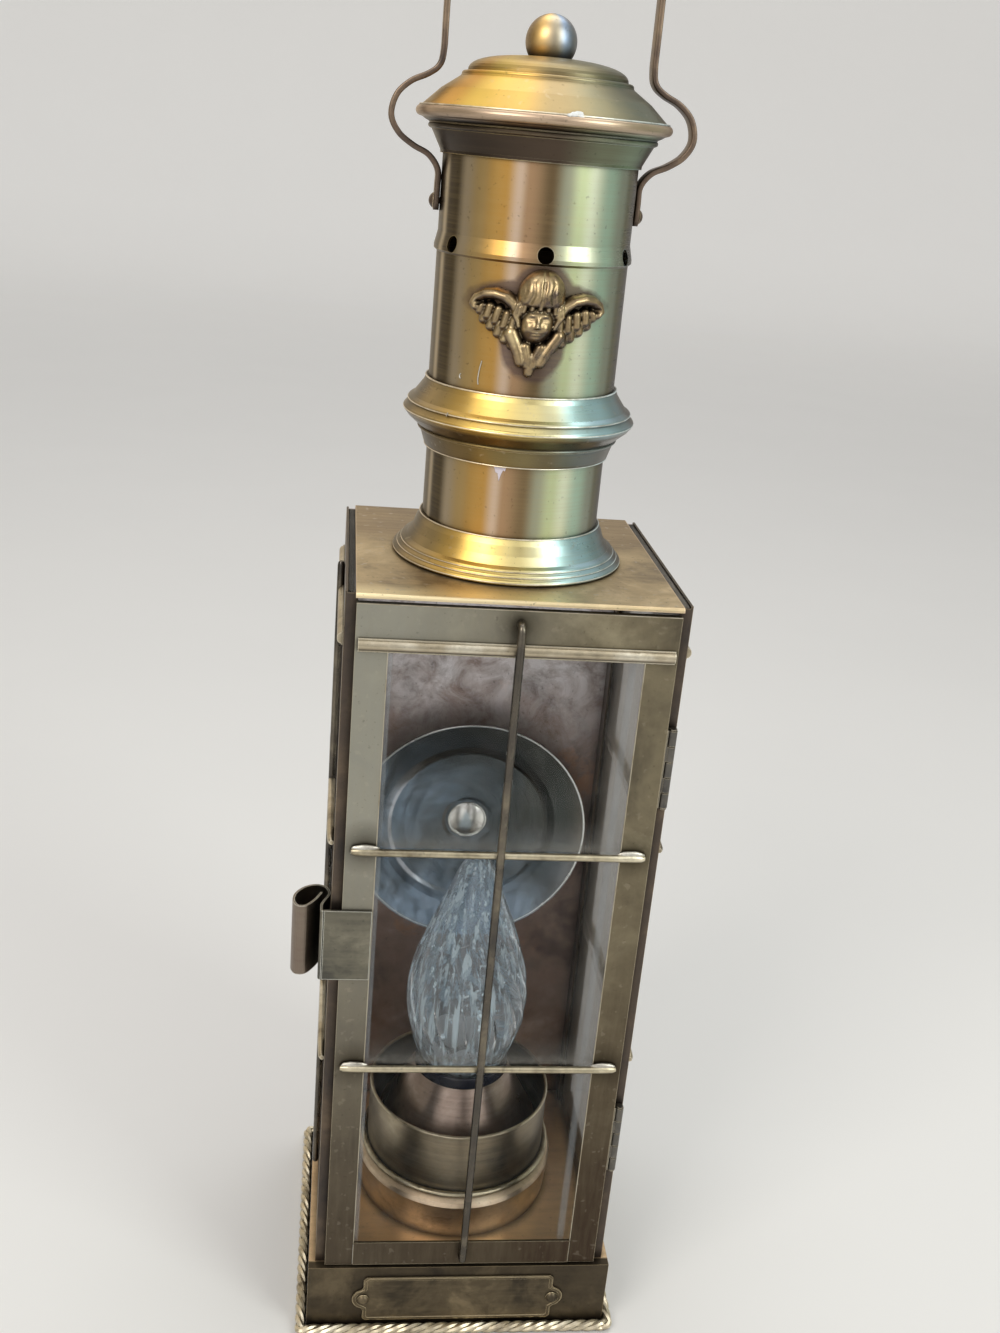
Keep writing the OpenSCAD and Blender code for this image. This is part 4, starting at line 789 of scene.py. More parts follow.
def level_bars():
    r = BAR_R
    low, high = bars_low, bars_high
    parts = []
    for z in BARS:
        parts.append(wire_bar(Vector((low.x, low.y + r, z)), Vector((high.x, low.y + r, z)), r, 8 * MM, FRONT))
    joined("door_guard_wires", parts, "bar", "door", ["door_level_bars"])
    solder = []
    for i, (x, z) in enumerate((x, z) for x in (low.x + SOLDER_IN, high.x - SOLDER_IN) for z in BARS):
        solder.append(blob(Vector((x, high.y - 0.85 * MM, z + SOLDER_UP)), (4.8 * MM, 0.9 * MM, 1.5 * MM), seed=i))
    joined("door_solder", solder, "solder", "door")
    for side, body_side in (("left", -1), ("right", 1)):
        low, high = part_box(side + "_level_bars")
        out = Vector((body_side, 0, 0))
        x = (low.x + high.x) / 2
        side_bars = []
        for z in BARS:
            side_bars.append(wire_bar(Vector((x, low.y, z)), Vector((x, high.y, z)), r, 8 * MM, out))
        inner_x = min(abs(low.x), abs(high.x))
        side_bars.append(half_round(Vector((body_side * inner_x, low.y, TRIM_Z)),
                                    Vector((body_side * inner_x, high.y, TRIM_Z)), out))
        joined(side + "_guard_wires", side_bars, "trim", "lantern", [side + "_level_bars"])


def half_round(start, end, out):
    """Half-round moulding with a small lip along its upper and lower edges."""
    up = Vector((0, 0, 1))
    steps = 12
    profile = [(-1.0, 0.0), (-1.0, 0.25), (-0.84, 0.34)]
    profile += [(-0.78 * math.cos(math.pi * i / steps), 0.34 + 0.66 * math.sin(math.pi * i / steps))
                for i in range(steps + 1)]
    profile += [(0.84, 0.34), (1.0, 0.25), (1.0, 0.0)]
    points = []
    for place in (start, end):
        points += [place + up * TRIM_R * a + out * TRIM_OUT * b for a, b in profile]
    per = len(profile)
    faces = [(k, (k + 1) % per, (k + 1) % per + per, k + per) for k in range(per)]
    faces += [tuple(range(per)), tuple(range(per, 2 * per))]
    return points, faces


def top_trim():
    parts = [half_round(Vector((trim_low.x, trim_high.y, TRIM_Z)), Vector((trim_high.x, trim_high.y, TRIM_Z)), FRONT)]
    joined("door_trim_moulding", parts, "trim", "door", ["door_top_trim"])


def upright_wire(name, node, body):
    """Upright guard bar of the door: its ends turn in and are soldered to the frame."""
    low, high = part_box(node)
    r = (high.x - low.x) / 2
    middle = (low.x + high.x) / 2

    def at(depth, z):
        return Vector((middle, high.y + (low.y + r - high.y) * depth, z))
    turn_in = 3.4 * MM
    ends = [at(0.12, low.z + r), at(0.62, low.z + r * 1.1), at(0.93, low.z + turn_in * 0.75),
            at(1, low.z + turn_in * 1.6)]
    tops = [at(1, high.z - turn_in * 1.6), at(0.93, high.z - turn_in * 0.75), at(0.62, high.z - r * 1.1),
            at(0.12, high.z - r)]
    rng = random.Random(3)
    line = smooth_line(ends, 5)
    count = 12
    for i in range(1, count):
        z = low.z + (high.z - low.z) * i / count
        line.append(at(1 + (rng.random() - 0.5) * 0.03, z))
    line += smooth_line(tops, 5)
    wire = swept(line, lambda share: round_section(r * 1.12, 12), up=Vector((1, 0, 0)))
    joined(name, [wire], "bar_dark", body, [node])


def side_wire(side):
    """Upright guard bar of a side: straight, with rounded ends."""
    low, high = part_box(side + "_upright_bar")
    r = (high.x - low.x) / 2
    x, y = (low.x + high.x) / 2, (low.y + high.y) / 2
    heights = [low.z, low.z + 0.4 * r, low.z + 1.2 * r, high.z - 1.2 * r, high.z - 0.4 * r, high.z]
    sizes = (0.55, 0.86, 1.0, 1.0, 0.86, 0.55)
    points, faces = [], []
    sides = 16
    for z, size in zip(heights, sizes):
        for k in range(sides):
            turn = 2 * math.pi * k / sides
            points.append(Vector((x + r * size * math.cos(turn), y + r * size * math.sin(turn), z)))
    for i in range(len(heights) - 1):
        for k in range(sides):
            a, b = i * sides + k, i * sides + (k + 1) % sides
            faces.append((a, b, b + sides, a + sides))
    faces += [tuple(range(sides)), tuple(range(len(points) - sides, len(points)))]
    joined(side + "_guard_upright", [(points, faces)], "bar_dark", "lantern", [side + "_upright_bar"])


def door_seams():
    """Thin solder lines where the bottom rail and the stiles of the door meet."""
    height = 4.8 * MM
    y, z = door_low.y - 0.02 * MM, door_low.z + 5.3 * MM
    parts = []
    for x in (door_low.x + STILE, door_high.x - STILE):
        points = [Vector((x, y, z - height)), Vector((x, y, z + height))]
        parts.append(swept(points, lambda share: round_section(0.18 * MM, 8), up=Vector((1, 0, 0))))
    joined("door_seams", parts, "solder", "door")


# Rolled edges: thin rings on the lamp's cup and cone and round the reflector

def ring(name, r, thick, middle, look, upright=True):
    """A ring of round wire, level or, where upright is false, facing the front."""
    steps = 96
    line = []
    for k in range(steps):
        turn = 2 * math.pi * k / steps
        flat = Vector((math.cos(turn), math.sin(turn), 0)) if upright else Vector((math.cos(turn), 0, math.sin(turn)))
        line.append(middle + r * flat)
    up = Vector((0, 0, 1)) if upright else FRONT
    joined(name, [swept(line, lambda share: round_section(thick / 2, 8), closed=True, up=up)], look, "lantern")


def rolled_edges():
    cup_low, cup_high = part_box("lamp_cup")
    ring("cup_rim_roll", cup_high.x - 0.45 * MM, 1.3 * MM, Vector((0, 0, cup_high.z)), "bar")
    cone_low, cone_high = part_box("lamp_cone")
    top_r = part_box("socket_collar")[1].x + 0.2 * MM
    share = 0.254
    ring_r = cone_high.x + (top_r - cone_high.x) * share
    ring("cone_rolled_ring", ring_r - 0.2 * MM, 1.8 * MM,
         Vector((0, 0, cone_low.z + (cone_high.z - cone_low.z) * share)), "cone")
    dish_low, dish_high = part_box("reflector")
    button_low, button_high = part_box("reflector_button")
    middle_z = (dish_low.z + dish_high.z) / 2
    ring("reflector_rim_roll", dish_high.x - 0.55 * MM, 1.1 * MM, Vector((0, dish_low.y + 0.55 * MM, middle_z)),
         "nickel", upright=False)
    ring("button_ring", button_high.x + 0.35 * MM, 0.8 * MM, Vector((0, button_low.y + 1.9 * MM, middle_z)),
         "nickel", upright=False)


# Thin bright lines along edges and creases: bare metal worn by hands and cloths, and painted highlights

def chimney_lines():
    tube_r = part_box("lower_chimney_tube")[1].x
    upper_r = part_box("upper_chimney_tube")[1].x - BAND_OUT
    flange_low, flange_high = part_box("chimney_flange")
    collar_low, collar_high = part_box("chimney_collar")
    dome_low, dome_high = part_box("cap_dome")
    rows = [
        (flange_high.x - 0.20 * MM, flange_low.z + 1.0 * MM, 0.55),
        (flange_high.x - 1.45 * MM, flange_low.z + 2.6 * MM, 0.4),
        (flange_high.x - 2.75 * MM, flange_low.z + 4.1 * MM, 0.4),
        (tube_r + 0.85 * MM, flange_high.z - 0.1 * MM, 0.5),
        (collar_high.x - 0.15 * MM, collar_low.z + 12.4 * MM, 0.45),
        (collar_high.x - 1.45 * MM, collar_low.z + 15.3 * MM, 0.4),
        (upper_r + 0.85 * MM, collar_high.z - 0.1 * MM, 0.55),
        (tube_r + 0.9 * MM, collar_low.z + 0.1 * MM, 0.4),
        (dome_high.x - 0.35 * MM, dome_low.z + 0.25 * MM, 0.5),
    ]
    for i, (r, z, thick) in enumerate(rows):
        ring("worn_highlight_ring_%02d" % i, r, thick * MM, Vector((0, 0, z)), "worn_highlight")


SCRATCHES = [
    (31.55, [(-31.8, 376.4), (-32.9, 373.6), (-33.5, 370.6), (-33.1, 368.8)]),
    (31.55, [(-45.6, 371.2), (-46.6, 370.6), (-46.2, 369.8), (-45.4, 369.7)]),
    (38.3, [(-43.4, 359.4), (-44.2, 358.2)]),
]


def scratches():
    parts = []
    for r, line in SCRATCHES:
        points = []
        for turn, z in line:
            angle = math.radians(turn)
            points.append(Vector((r * math.sin(angle), -r * math.cos(angle), z)) * MM)
        parts.append(swept(smooth_line(points, 4), lambda share: round_section(0.22 * MM, 8)))
    joined("scratches", parts, "solder", "lantern")


def door_lines():
    """The same bright lines, worn metal and painted highlight, along the door's top edge and round its opening."""
    y = door_low.y + 0.06 * MM
    inset = 0.12 * MM
    x0, x1, z1 = door_low.x + inset, door_high.x - inset, door_high.z - inset
    a0, a1 = door_low.x + STILE, door_high.x - STILE
    b0, b1 = door_low.z + STILE, TRIM_Z - TRIM_R
    parts = []
    for (ax, az), (bx, bz) in (((x0, z1), (x1, z1)), ((a0, b0), (a0, b1)), ((a1, b0), (a1, b1)), ((a0, b0), (a1, b0))):
        ends = [Vector((ax, y, az)), Vector((bx, y, bz))]
        parts.append(swept(ends, lambda share: round_section(0.2 * MM, 8), up=FRONT))
    joined("door_edge_lines", parts, "worn_highlight_edge", "door")


# Small chips of old white paint: places as (turn from the front in degrees, radius, height, size)

CHIPS = [
    (4.6, 39.9, 450.7, 1.5), (6.6, 39.6, 451.0, 1.6), (3.0, 40.1, 450.5, 0.8), (8.0, 39.9, 450.3, 0.9),
]


def paint_chips():
    parts = []
    for i, (turn, r, z, size) in enumerate(CHIPS):
        angle = math.radians(turn)
        place = Vector((r * math.sin(angle), -r * math.cos(angle), z)) * MM
        parts.append(blob(place, (size * MM, 0.25 * MM, 0.55 * size * MM), steps=5, rough=0.5, seed=20 + i))
    joined("paint_chips", parts, "chip", "lantern")
    outline = [(-20.4, 343.5), (-11.8, 343.5), (-12.4, 341.9), (-13.6, 342.2), (-14.8, 340.6), (-15.8, 338.5),
               (-16.8, 341.0), (-18.2, 341.3), (-19.0, 342.7)]
    points = []
    for r in (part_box("lower_chimney_tube")[1].x + 0.14 * MM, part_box("lower_chimney_tube")[1].x - 0.2 * MM):
        for turn, z in outline:
            angle = math.radians(turn)
            points.append(Vector((r * math.sin(angle), -r * math.cos(angle), z * MM)))
    count = len(outline)
    faces = [tuple(reversed(range(count))), tuple(range(count, 2 * count))]
    faces += [(k, (k + 1) % count, count + (k + 1) % count, count + k) for k in range(count)]
    joined("worn_patch", [(points, faces)], "bloom", "lantern")


# Bulb: flame-shaped glass with twisted flutes

BULB_LINE = [
    (0.54, 0), (0.62, 0.03), (0.765, 0.075), (0.897, 0.17), (0.985, 0.265), (1, 0.34), (0.985, 0.41),
    (0.935, 0.48), (0.868, 0.545), (0.737, 0.645), (0.584, 0.745), (0.432, 0.84), (0.30, 0.93),
    (0.19, 0.978), (0.08, 0.998),
]
BULB_NECK = 10 * MM


def flame_bulb():
    low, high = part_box("bulb_glass")
    widest = (high.x - low.x) / 2
    foot = low.z + BULB_NECK
    height = high.z - foot
    wall = 0.8 * MM
    neck = 12.65 * MM
    curve = smooth_line([(r, z, 0) for r, z in BULB_LINE], 5)
    outer = [(neck, low.z), (neck, foot - 1 * MM)] + [(p.x * widest, foot + p.y * height) for p in curve]
    outer.append((0, high.z))
    inner = [(max(r - wall, 0), z - (wall if i > 2 else 0)) for i, (r, z) in enumerate(outer)]
    outline = outer + inner[::-1]
    flutes = 15
    rng = random.Random(11)
    depth = [0.010 + 0.012 * rng.random() for _ in range(flutes)]
    count = len(outer)

    def ripple(turn, i):
        k = i if i < count else len(outline) - 1 - i
        share = min(max((outer[k][1] - foot) / height, 0), 1)
        fade = math.sin(math.pi * min(share * 1.15 + 0.02, 1)) ** 0.5 if share > 0 else 0
        lean = turn + 1.5 * share + 0.12 * math.sin(9 * share + 2 * turn)
        number = int(lean / (2 * math.pi) * flutes) % flutes
        wave = abs(math.sin(lean * flutes / 2))
        strength = 1.0 if i < count else 0.25
        return 1 - strength * fade * 0.060 * (1 - wave ** 0.6) * (0.6 + depth[number] * 20)

    joined("flame_bulb", [turned(outline, 264, ripple=ripple)], "bulb", "lantern", ["bulb_glass"], sharp=60)


def bulb_mount():
    """The mount in the bulb: a pale cup with a scalloped edge, and the stem."""
    low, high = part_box("bulb_stem")
    r = (high.x - low.x) / 2
    edge = low.z + 19.4 * MM
    foot = 11.75 * MM
    wall = 0.6 * MM
    steps = 192
    outline = [(foot, low.z), (foot, low.z + 7 * MM), (r - 0.5 * MM, low.z + 10.5 * MM), (r, edge)]
    outline += [(r - wall, edge), (r - 0.5 * MM - wall, low.z + 10.5 * MM), (foot - wall, low.z + 7 * MM),
                (foot - wall, low.z + 1 * MM), (0, low.z + 1 * MM), (0, low.z)]
    points, faces = turned(outline, steps)
    scallops = 18
    for k in range(steps):
        turn = 2 * math.pi * k / steps
        rise = 1.5 * MM * abs(math.sin(turn * scallops / 2)) - 0.9 * MM
        for i in (3, 4):
            points[k * len(outline) + i].z += rise
    joined("bulb_mount_cup", [(points, faces)], "mount", "lantern", ["bulb_stem"])
    stem_r = 3.2 * MM
    stem = [(stem_r * 1.9, low.z + 1.1 * MM), (stem_r * 1.15, low.z + 9 * MM), (stem_r * 0.75, low.z + 16 * MM)]
    stem += [(stem_r * 0.7, high.z - 6 * MM), (stem_r * 1.1, high.z - 3.5 * MM), (stem_r * 0.9, high.z - 1.2 * MM),
             (0, high.z), (0, low.z + 1.1 * MM)]
    joined("bulb_stem_glass", [turned(stem, 48)], "bulb_inner", "lantern")


def bulb_wires():
    low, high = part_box("filament")
    wire_low, wire_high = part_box("bulb_lead_wires")
    r = 0.28 * MM
    parts = []
    peak = Vector((0, 0, high.z - r))
    for side in (-1, 1):
        foot = Vector((side * 1.6 * MM, 0, wire_low.z))
        knee = Vector((side * (high.x - 0.6 * MM), 0, low.z + r))
        parts.append(swept(smooth_line([foot, foot.lerp(knee, 0.45) + Vector((side * 0.8 * MM, 0, 0)), knee], 6),
                           lambda share: round_section(r, 8), up=Vector((0, 1, 0))))
    joined("bulb_supports", parts, "nickel", "lantern", ["bulb_lead_wires"])
    coils, coil_r = 34, 0.32 * MM
    centre = []
    for i in range(coils * 8 + 1):
        share = i / (coils * 8)
        side = -1 if share < 0.5 else 1
        part = share * 2 if side < 0 else (1 - share) * 2
        base = Vector((side * (high.x - 0.5 * MM), 0, low.z + r)).lerp(peak, part)
        turn = 2 * math.pi * share * coils
        centre.append(base + coil_r * Vector((math.cos(turn) * 0.5, math.sin(turn), math.cos(turn) * 0.6)))
    joined("filament_coil", [swept(centre, lambda share: round_section(0.11 * MM, 6))], "filament", "lantern",
           ["filament"])


# Name plate: bare, with a raised line along its outline and rounded ears

def plate_outline(inset):
    low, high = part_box("name_plate")
    ear = 4.6 * MM
    half_w = (high.x - low.x) / 2 - ear - inset
    half_h = (high.z - low.z) / 2 - inset
    middle = Vector((0, 0, (low.z + high.z) / 2))
    nick = 1.2 * MM
    ear_r = ear - inset * 0.9
    line = []
    steps = 10
    for turn_side in (1, -1):
        line.append(middle + Vector((turn_side * half_w, 0, -turn_side * (half_h - nick))))
        line.append(middle + Vector((turn_side * half_w, 0, -turn_side * (ear_r + 0.9 * MM))))
        for i in range(steps + 1):
            turn = math.radians(-78 + 156 * i / steps)
            line.append(middle + turn_side * Vector((half_w + inset - 0.2 * MM + ear_r * math.cos(turn) * 0.98, 0,
                                                     ear_r * math.sin(turn))))
        line.append(middle + Vector((turn_side * half_w, 0, turn_side * (ear_r + 0.9 * MM))))
        line.append(middle + Vector((turn_side * half_w, 0, turn_side * (half_h - nick))))
        line.append(middle + Vector((turn_side * (half_w - nick), 0, turn_side * half_h)))
        line.append(middle + Vector((-turn_side * (half_w - nick), 0, turn_side * half_h)))
    return line


def name_plate():
    low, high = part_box("name_plate")
    outline = plate_outline(0)
    count = len(outline)
    back, front = high.y, low.y + 0.25 * MM
    points = [Vector((p.x, back, p.z)) for p in outline] + [Vector((p.x, front, p.z)) for p in outline]
    faces = [tuple(range(count)), tuple(range(count, 2 * count))]
    faces += [(i, (i + 1) % count, (i + 1) % count + count, i + count) for i in range(count)]
    rim = []
    for p in plate_outline(0.9 * MM):
        rim.append(Vector((p.x, front, p.z)))
    bead = swept(rim, lambda share: round_section(0.5 * MM, 8, 0.6), closed=True, up=FRONT)
    joined("name_plate_sheet", [(points, faces), bead], "plate", "lantern", ["name_plate"], sharp=30)


# Bail: a flat strap with softened edges

def bail_strap():
    low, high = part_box("bail_handle")
    pivot = low.z + 3.0 * MM
    wide, thick = high.y - low.y, 1.8 * MM
    strap_x = 32.7 * MM
    knee_x, leg_x, arch_up = 48.5 * MM, 33.2 * MM, 108.6 * MM
    half = [
        (strap_x, -2.9), (strap_x, 4), (strap_x + 0.2 * MM, 9.4), (strap_x + 3.4 * MM, 13.6),
        (strap_x + 8.4 * MM, 16), (knee_x - 2.6 * MM, 19.4), (knee_x, 24.4), (knee_x - 1.4 * MM, 30.4),
        (knee_x - 5.6 * MM, 34.6), (leg_x + 4.4 * MM, 37.2), (leg_x + 1.2 * MM, 39.8), (leg_x + 0.1 * MM, 44),
        (leg_x, 54), (leg_x, arch_up / MM - 12),
    ]
    knee = smooth_line([(x, 0, z * MM) for x, z in half], 6)
    steps = 40
    top = [Vector((leg_x * math.cos(math.pi * i / steps), 0, arch_up + leg_x * math.sin(math.pi * i / steps)))
           for i in range(steps + 1)]
    left = [Vector((-p.x, 0, p.z)) for p in reversed(knee)]
    line = [p + Vector((0, 0, pivot)) for p in knee + top + left]
    soft = 0.5 * MM
    corners = []
    for sa, sb, start in ((1, 1, 0), (-1, 1, 90), (-1, -1, 180), (1, -1, 270)):
        for i in range(4):
            turn = math.radians(start + 30 * i)
            corners.append((sa * (thick / 2 - soft) + soft * math.cos(turn),
                            sb * (wide / 2 - soft) + soft * math.sin(turn)))
    count = len(line)

    def section(share):
        i = min(share, 1 - share) * (count - 1)
        narrow = min(1.0, 0.45 + 0.55 * math.sqrt(min(i / 3.0, 1.0)))
        return [(a, b * narrow) for a, b in corners]

    joined("bail_strap", [swept(line, section, up=Vector((0, 1, 0)))], "copper", "bail", ["bail_handle"], sharp=60)


# Winged child's head in relief on the chimney, made as a height field wrapped round the tube

def ridge(u, v, points, r, height, shrink=1.0, crown=0.5):
    """Height of a rounded ridge along given points; it may taper towards its end."""
    best = numpy.full_like(u, -9.0)
    count = len(points) - 1
    for i in range(count):
        (ax, ay), (bx, by) = points[i], points[i + 1]
        length = max((bx - ax) ** 2 + (by - ay) ** 2, 1e-9)
        t = numpy.clip(((u - ax) * (bx - ax) + (v - ay) * (by - ay)) / length, 0, 1)
        far = numpy.hypot(u - ax - t * (bx - ax), v - ay - t * (by - ay))
        share = (i + t) / count
        size = r * (1 + (shrink - 1) * share)
        inside = 1 - (far / size) ** 2
        dome = numpy.where(inside > 0, numpy.abs(inside) ** crown, inside)
        best = numpy.maximum(best, height * (1 + (shrink - 1) * share * 0.6) * dome)
    return best


def oval(u, v, middle, size, height, crown=0.5):
    far = ((u - middle[0]) / size[0]) ** 2 + ((v - middle[1]) / size[1]) ** 2
    inside = 1 - far
    return height * numpy.where(inside > 0, numpy.abs(inside) ** crown, inside)


def bump_at(u, v, middle, size, height):
    return height * numpy.exp(-((u - middle[0]) / size[0]) ** 2 - ((v - middle[1]) / size[1]) ** 2)


WING_EDGE = [
    (5.6, 1.6), (7.4, 4.0), (10.2, 5.9), (13.6, 6.6), (16.8, 6.2), (19.2, 4.9), (20.2, 3.1), (19.3, 2.0),
]
SHORT_FEATHERS = [
    ((17.6, 2.4), (18.0, 0.9)), ((14.9, 2.6), (15.4, -0.3)), ((12.0, 2.0), (12.6, -1.6)), ((9.2, 0.9), (9.8, -2.8)),
    ((6.9, -0.6), (7.3, -3.6)),
]
LONG_FEATHERS = [
    ((16.6, 0.0), (16.9, -1.6)), ((13.8, -1.0), (14.2, -3.5)), ((11.0, -2.4), (11.5, -5.4)), ((8.5, -3.8), (9.0, -7.1)),
    ((6.2, -5.2), (6.5, -8.6)),
]
LOCKS = [
    [(0.4, 14.6), (1.6, 11.0), (0.9, 7.4), (1.8, 4.6)], [(1.6, 14.6), (4.0, 12.0), (3.6, 8.6), (4.6, 5.4)],
    [(2.6, 14.0), (5.9, 10.8), (5.4, 7.8), (6.5, 4.6)], [(3.4, 13.4), (6.9, 9.2), (6.4, 5.4), (7.1, 2.4)],
    [(6.2, 4.2), (6.9, 1.4), (5.9, -0.8)], [(5.4, 3.4), (5.9, 0.2), (5.1, -2.4)],
]


def cherub_height(u, v):
    side = numpy.abs(u)
    top = numpy.full_like(u, -9.0)
    for start, end in LONG_FEATHERS:
        top = numpy.maximum(top, ridge(side, v, [start, end], 1.75, 1.9, 1.0, 0.6))
    for start, end in SHORT_FEATHERS:
        top = numpy.maximum(top, ridge(side, v, [start, end], 1.75, 2.8, 1.0, 0.6))
    top = numpy.maximum(top, ridge(side, v, WING_EDGE, 2.15, 4.0, 0.78))
    curl = numpy.hypot(side - 18.3, v - 3.4)
    top = numpy.where(curl < 0.9, numpy.minimum(top, 1.2 + curl), top)
    for points, r, height in (
        ([(7.0, -4.8), (5.4, -7.6), (3.9, -10.6), (2.9, -13.4)], 2.6, 3.9),
        ([(2.2, -8.6), (1.0, -12.0), (0.8, -14.4)], 2.0, 3.4),
        ([(0, -15.0), (0, -16.8)], 2.0, 3.0),
    ):
        top = numpy.maximum(top, ridge(side, v, points, r, height, 0.8))
    top = numpy.maximum(top, cherub_face(u, v + 0.4))
    hair = oval(u, v, (0, 7.1), (7.3, 7.9), 6.4, 0.55)
    hair -= numpy.where(v < 4.4, (4.4 - v) * 2.4, 0) * numpy.exp(-(side / 4.6) ** 6)
    locks = numpy.full_like(u, -9.0)
    for line in LOCKS:
        locks = numpy.maximum(locks, ridge(side, v, line, 1.35, 1.0, 0.8))
    part = ridge(u, v, [(0, 15.0), (0, 4.6)], 0.5, 0.6)
    covered = hair + numpy.maximum(locks, 0) * 0.65 - numpy.maximum(part, 0) * 0.6
    top = numpy.maximum(top, numpy.where(hair > -0.2, covered, hair))
    for line in LOCKS[-2:]:
        top = numpy.maximum(top, ridge(side, v, line, 1.35, 4.4, 0.75))
    for k in range(5):
        at = -4.4 + 8.8 * k / 4
        fringe = ridge(u, v, [(at * 0.86, 5.8), (at, 3.4 - 0.06 * at * at)], 1.4, 6.2 - 0.07 * at * at, 0.9)
        top = numpy.maximum(top, fringe)
    return top


def cherub_face(u, v):
    side = numpy.abs(u)
    face = oval(u, v, (0, -1.0), (5.3, 6.7), 5.6) + 0.05 * v
    face += bump_at(side, v, (2.5, -2.4), (1.6, 1.7), 0.75)
    face += bump_at(u, v, (0, -5.4), (1.3, 1.0), 0.7)
    face += bump_at(side, v, (1.9, 1.9), (1.6, 0.55), 0.45)
    face -= bump_at(side, v, (1.95, 0.55), (1.15, 0.85), 0.70)
    face += bump_at(side, v, (1.95, 0.5), (0.75, 0.42), 0.35)
    face -= bump_at(side, v, (1.95, 0.12), (0.8, 0.12), 0.2)
    face += bump_at(u, v, (0, -0.1), (0.5, 1.5), 0.85)
    face += bump_at(u, v, (0, -1.5), (0.62, 0.5), 0.85)
    face += bump_at(side, v, (0.62, -1.6), (0.36, 0.34), 0.35)
    face += bump_at(u, v, (0, -3.2), (1.15, 0.32), 0.5)
    face += bump_at(u, v, (0, -3.95), (0.9, 0.36), 0.55)
    face -= bump_at(u, v, (0, -3.56), (1.25, 0.14), 0.35)
    return face


CHERUB_TURN = math.radians(-1.6)
CHERUB_LEAN = 0.08


def cherub():
    low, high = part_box("cherub_ornament")
    tube_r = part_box("upper_chimney_tube")[1].x - BAND_OUT
    middle_z = ORNAMENT_Z
    step = 0.28
    u, v = numpy.meshgrid(numpy.arange(-24.0, 24.01, step), numpy.arange(-19.5, 17.01, step))
    height = cherub_height(u - CHERUB_LEAN * v, v)
    sunk = -0.45
    height = numpy.clip(height, sunk, (-low.y - tube_r) / MM)
    inside = height > sunk + 0.01
    for _ in range(2):
        # Only whole cells are kept, so no two of them meet at a corner alone
        cell = inside[:-1, :-1] & inside[1:, :-1] & inside[:-1, 1:] & inside[1:, 1:]
        inside = numpy.zeros_like(inside)
        for a in (slice(None, -1), slice(1, None)):
            for b in (slice(None, -1), slice(1, None)):
                inside[a, b] |= cell
    touching = cell[:-1, :-1] & cell[1:, 1:] & ~cell[1:, :-1] & ~cell[:-1, 1:]
    crossing = ~cell[:-1, :-1] & ~cell[1:, 1:] & cell[1:, :-1] & cell[:-1, 1:]
    cell[1:, :-1] |= touching
    cell[1:, 1:] |= crossing
    rows, columns = u.shape
    number = {}
    points, faces = [], []
    back_r = tube_r + sunk * MM - 0.05 * MM

    def corner(i, j, back):
        key = (i, j, back)
        if key not in number:
            turn = u[i, j] * MM / tube_r + CHERUB_TURN
            out = back_r if back else tube_r + height[i, j] * MM
            number[key] = len(points)
            points.append(Vector((out * math.sin(turn), -out * math.cos(turn), middle_z + v[i, j] * MM)))
        return number[key]

    for i in range(rows - 1):
        for j in range(columns - 1):
            if not cell[i, j]:
                continue
            ring = [(i, j), (i, j + 1), (i + 1, j + 1), (i + 1, j)]
            faces.append(tuple(corner(*p, False) for p in ring))
            faces.append(tuple(corner(*p, True) for p in reversed(ring)))
            for (di, dj), (p, q) in (((-1, 0), (0, 1)), ((0, 1), (1, 2)), ((1, 0), (2, 3)), ((0, -1), (3, 0))):
                ni, nj = i + di, j + dj
                if 0 <= ni < rows - 1 and 0 <= nj < columns - 1 and cell[ni, nj]:
                    continue
                faces.append((corner(*ring[q], False), corner(*ring[p], False), corner(*ring[p], True),
                              corner(*ring[q], True)))
    new_piece("cherub_relief", points, faces, "ornament", "lantern", ["cherub_ornament"], sharp=80)


# Making of the pieces

rope_moulding()
level_bars()
top_trim()
upright_wire("door_guard_upright", "door_upright_bar", "door")
side_wire("left")
side_wire("right")
door_seams()
rolled_edges()
chimney_lines()
scratches()
door_lines()
paint_chips()
flame_bulb()
bulb_mount()
bulb_wires()
name_plate()
bail_strap()
cherub()


# Camera, floor and light

CAMERA_AT = Vector((-60.55, -464.88, 443.85)) * MM
CAMERA_YAW, CAMERA_PITCH, CAMERA_ROLL = (math.radians(a) for a in (7.6095, 21.1828, 5.1605))
PHOTO_HEIGHT = 1333
CAMERA_FOCUS = 1369.93
SENSOR = 36.0


def make_camera():
    forward = Vector((
        math.sin(CAMERA_YAW) * math.cos(CAMERA_PITCH), math.cos(CAMERA_YAW) * math.cos(CAMERA_PITCH),
        -math.sin(CAMERA_PITCH),
    ))
    level = Vector((math.cos(CAMERA_YAW), -math.sin(CAMERA_YAW), 0))
    up = level.cross(forward)
    right = math.cos(CAMERA_ROLL) * level + math.sin(CAMERA_ROLL) * up
    top = math.cos(CAMERA_ROLL) * up - math.sin(CAMERA_ROLL) * level
    data = bpy.data.cameras.new("camera")
    data.sensor_width = SENSOR
    data.lens = CAMERA_FOCUS / PHOTO_HEIGHT * SENSOR
    data.clip_start = 0.01
    camera = bpy.data.objects.new("camera", data)
    bpy.context.scene.collection.objects.link(camera)
    camera.matrix_world = Matrix.Translation(CAMERA_AT) @ Matrix((right, top, -forward)).transposed().to_4x4()
    bpy.context.scene.camera = camera


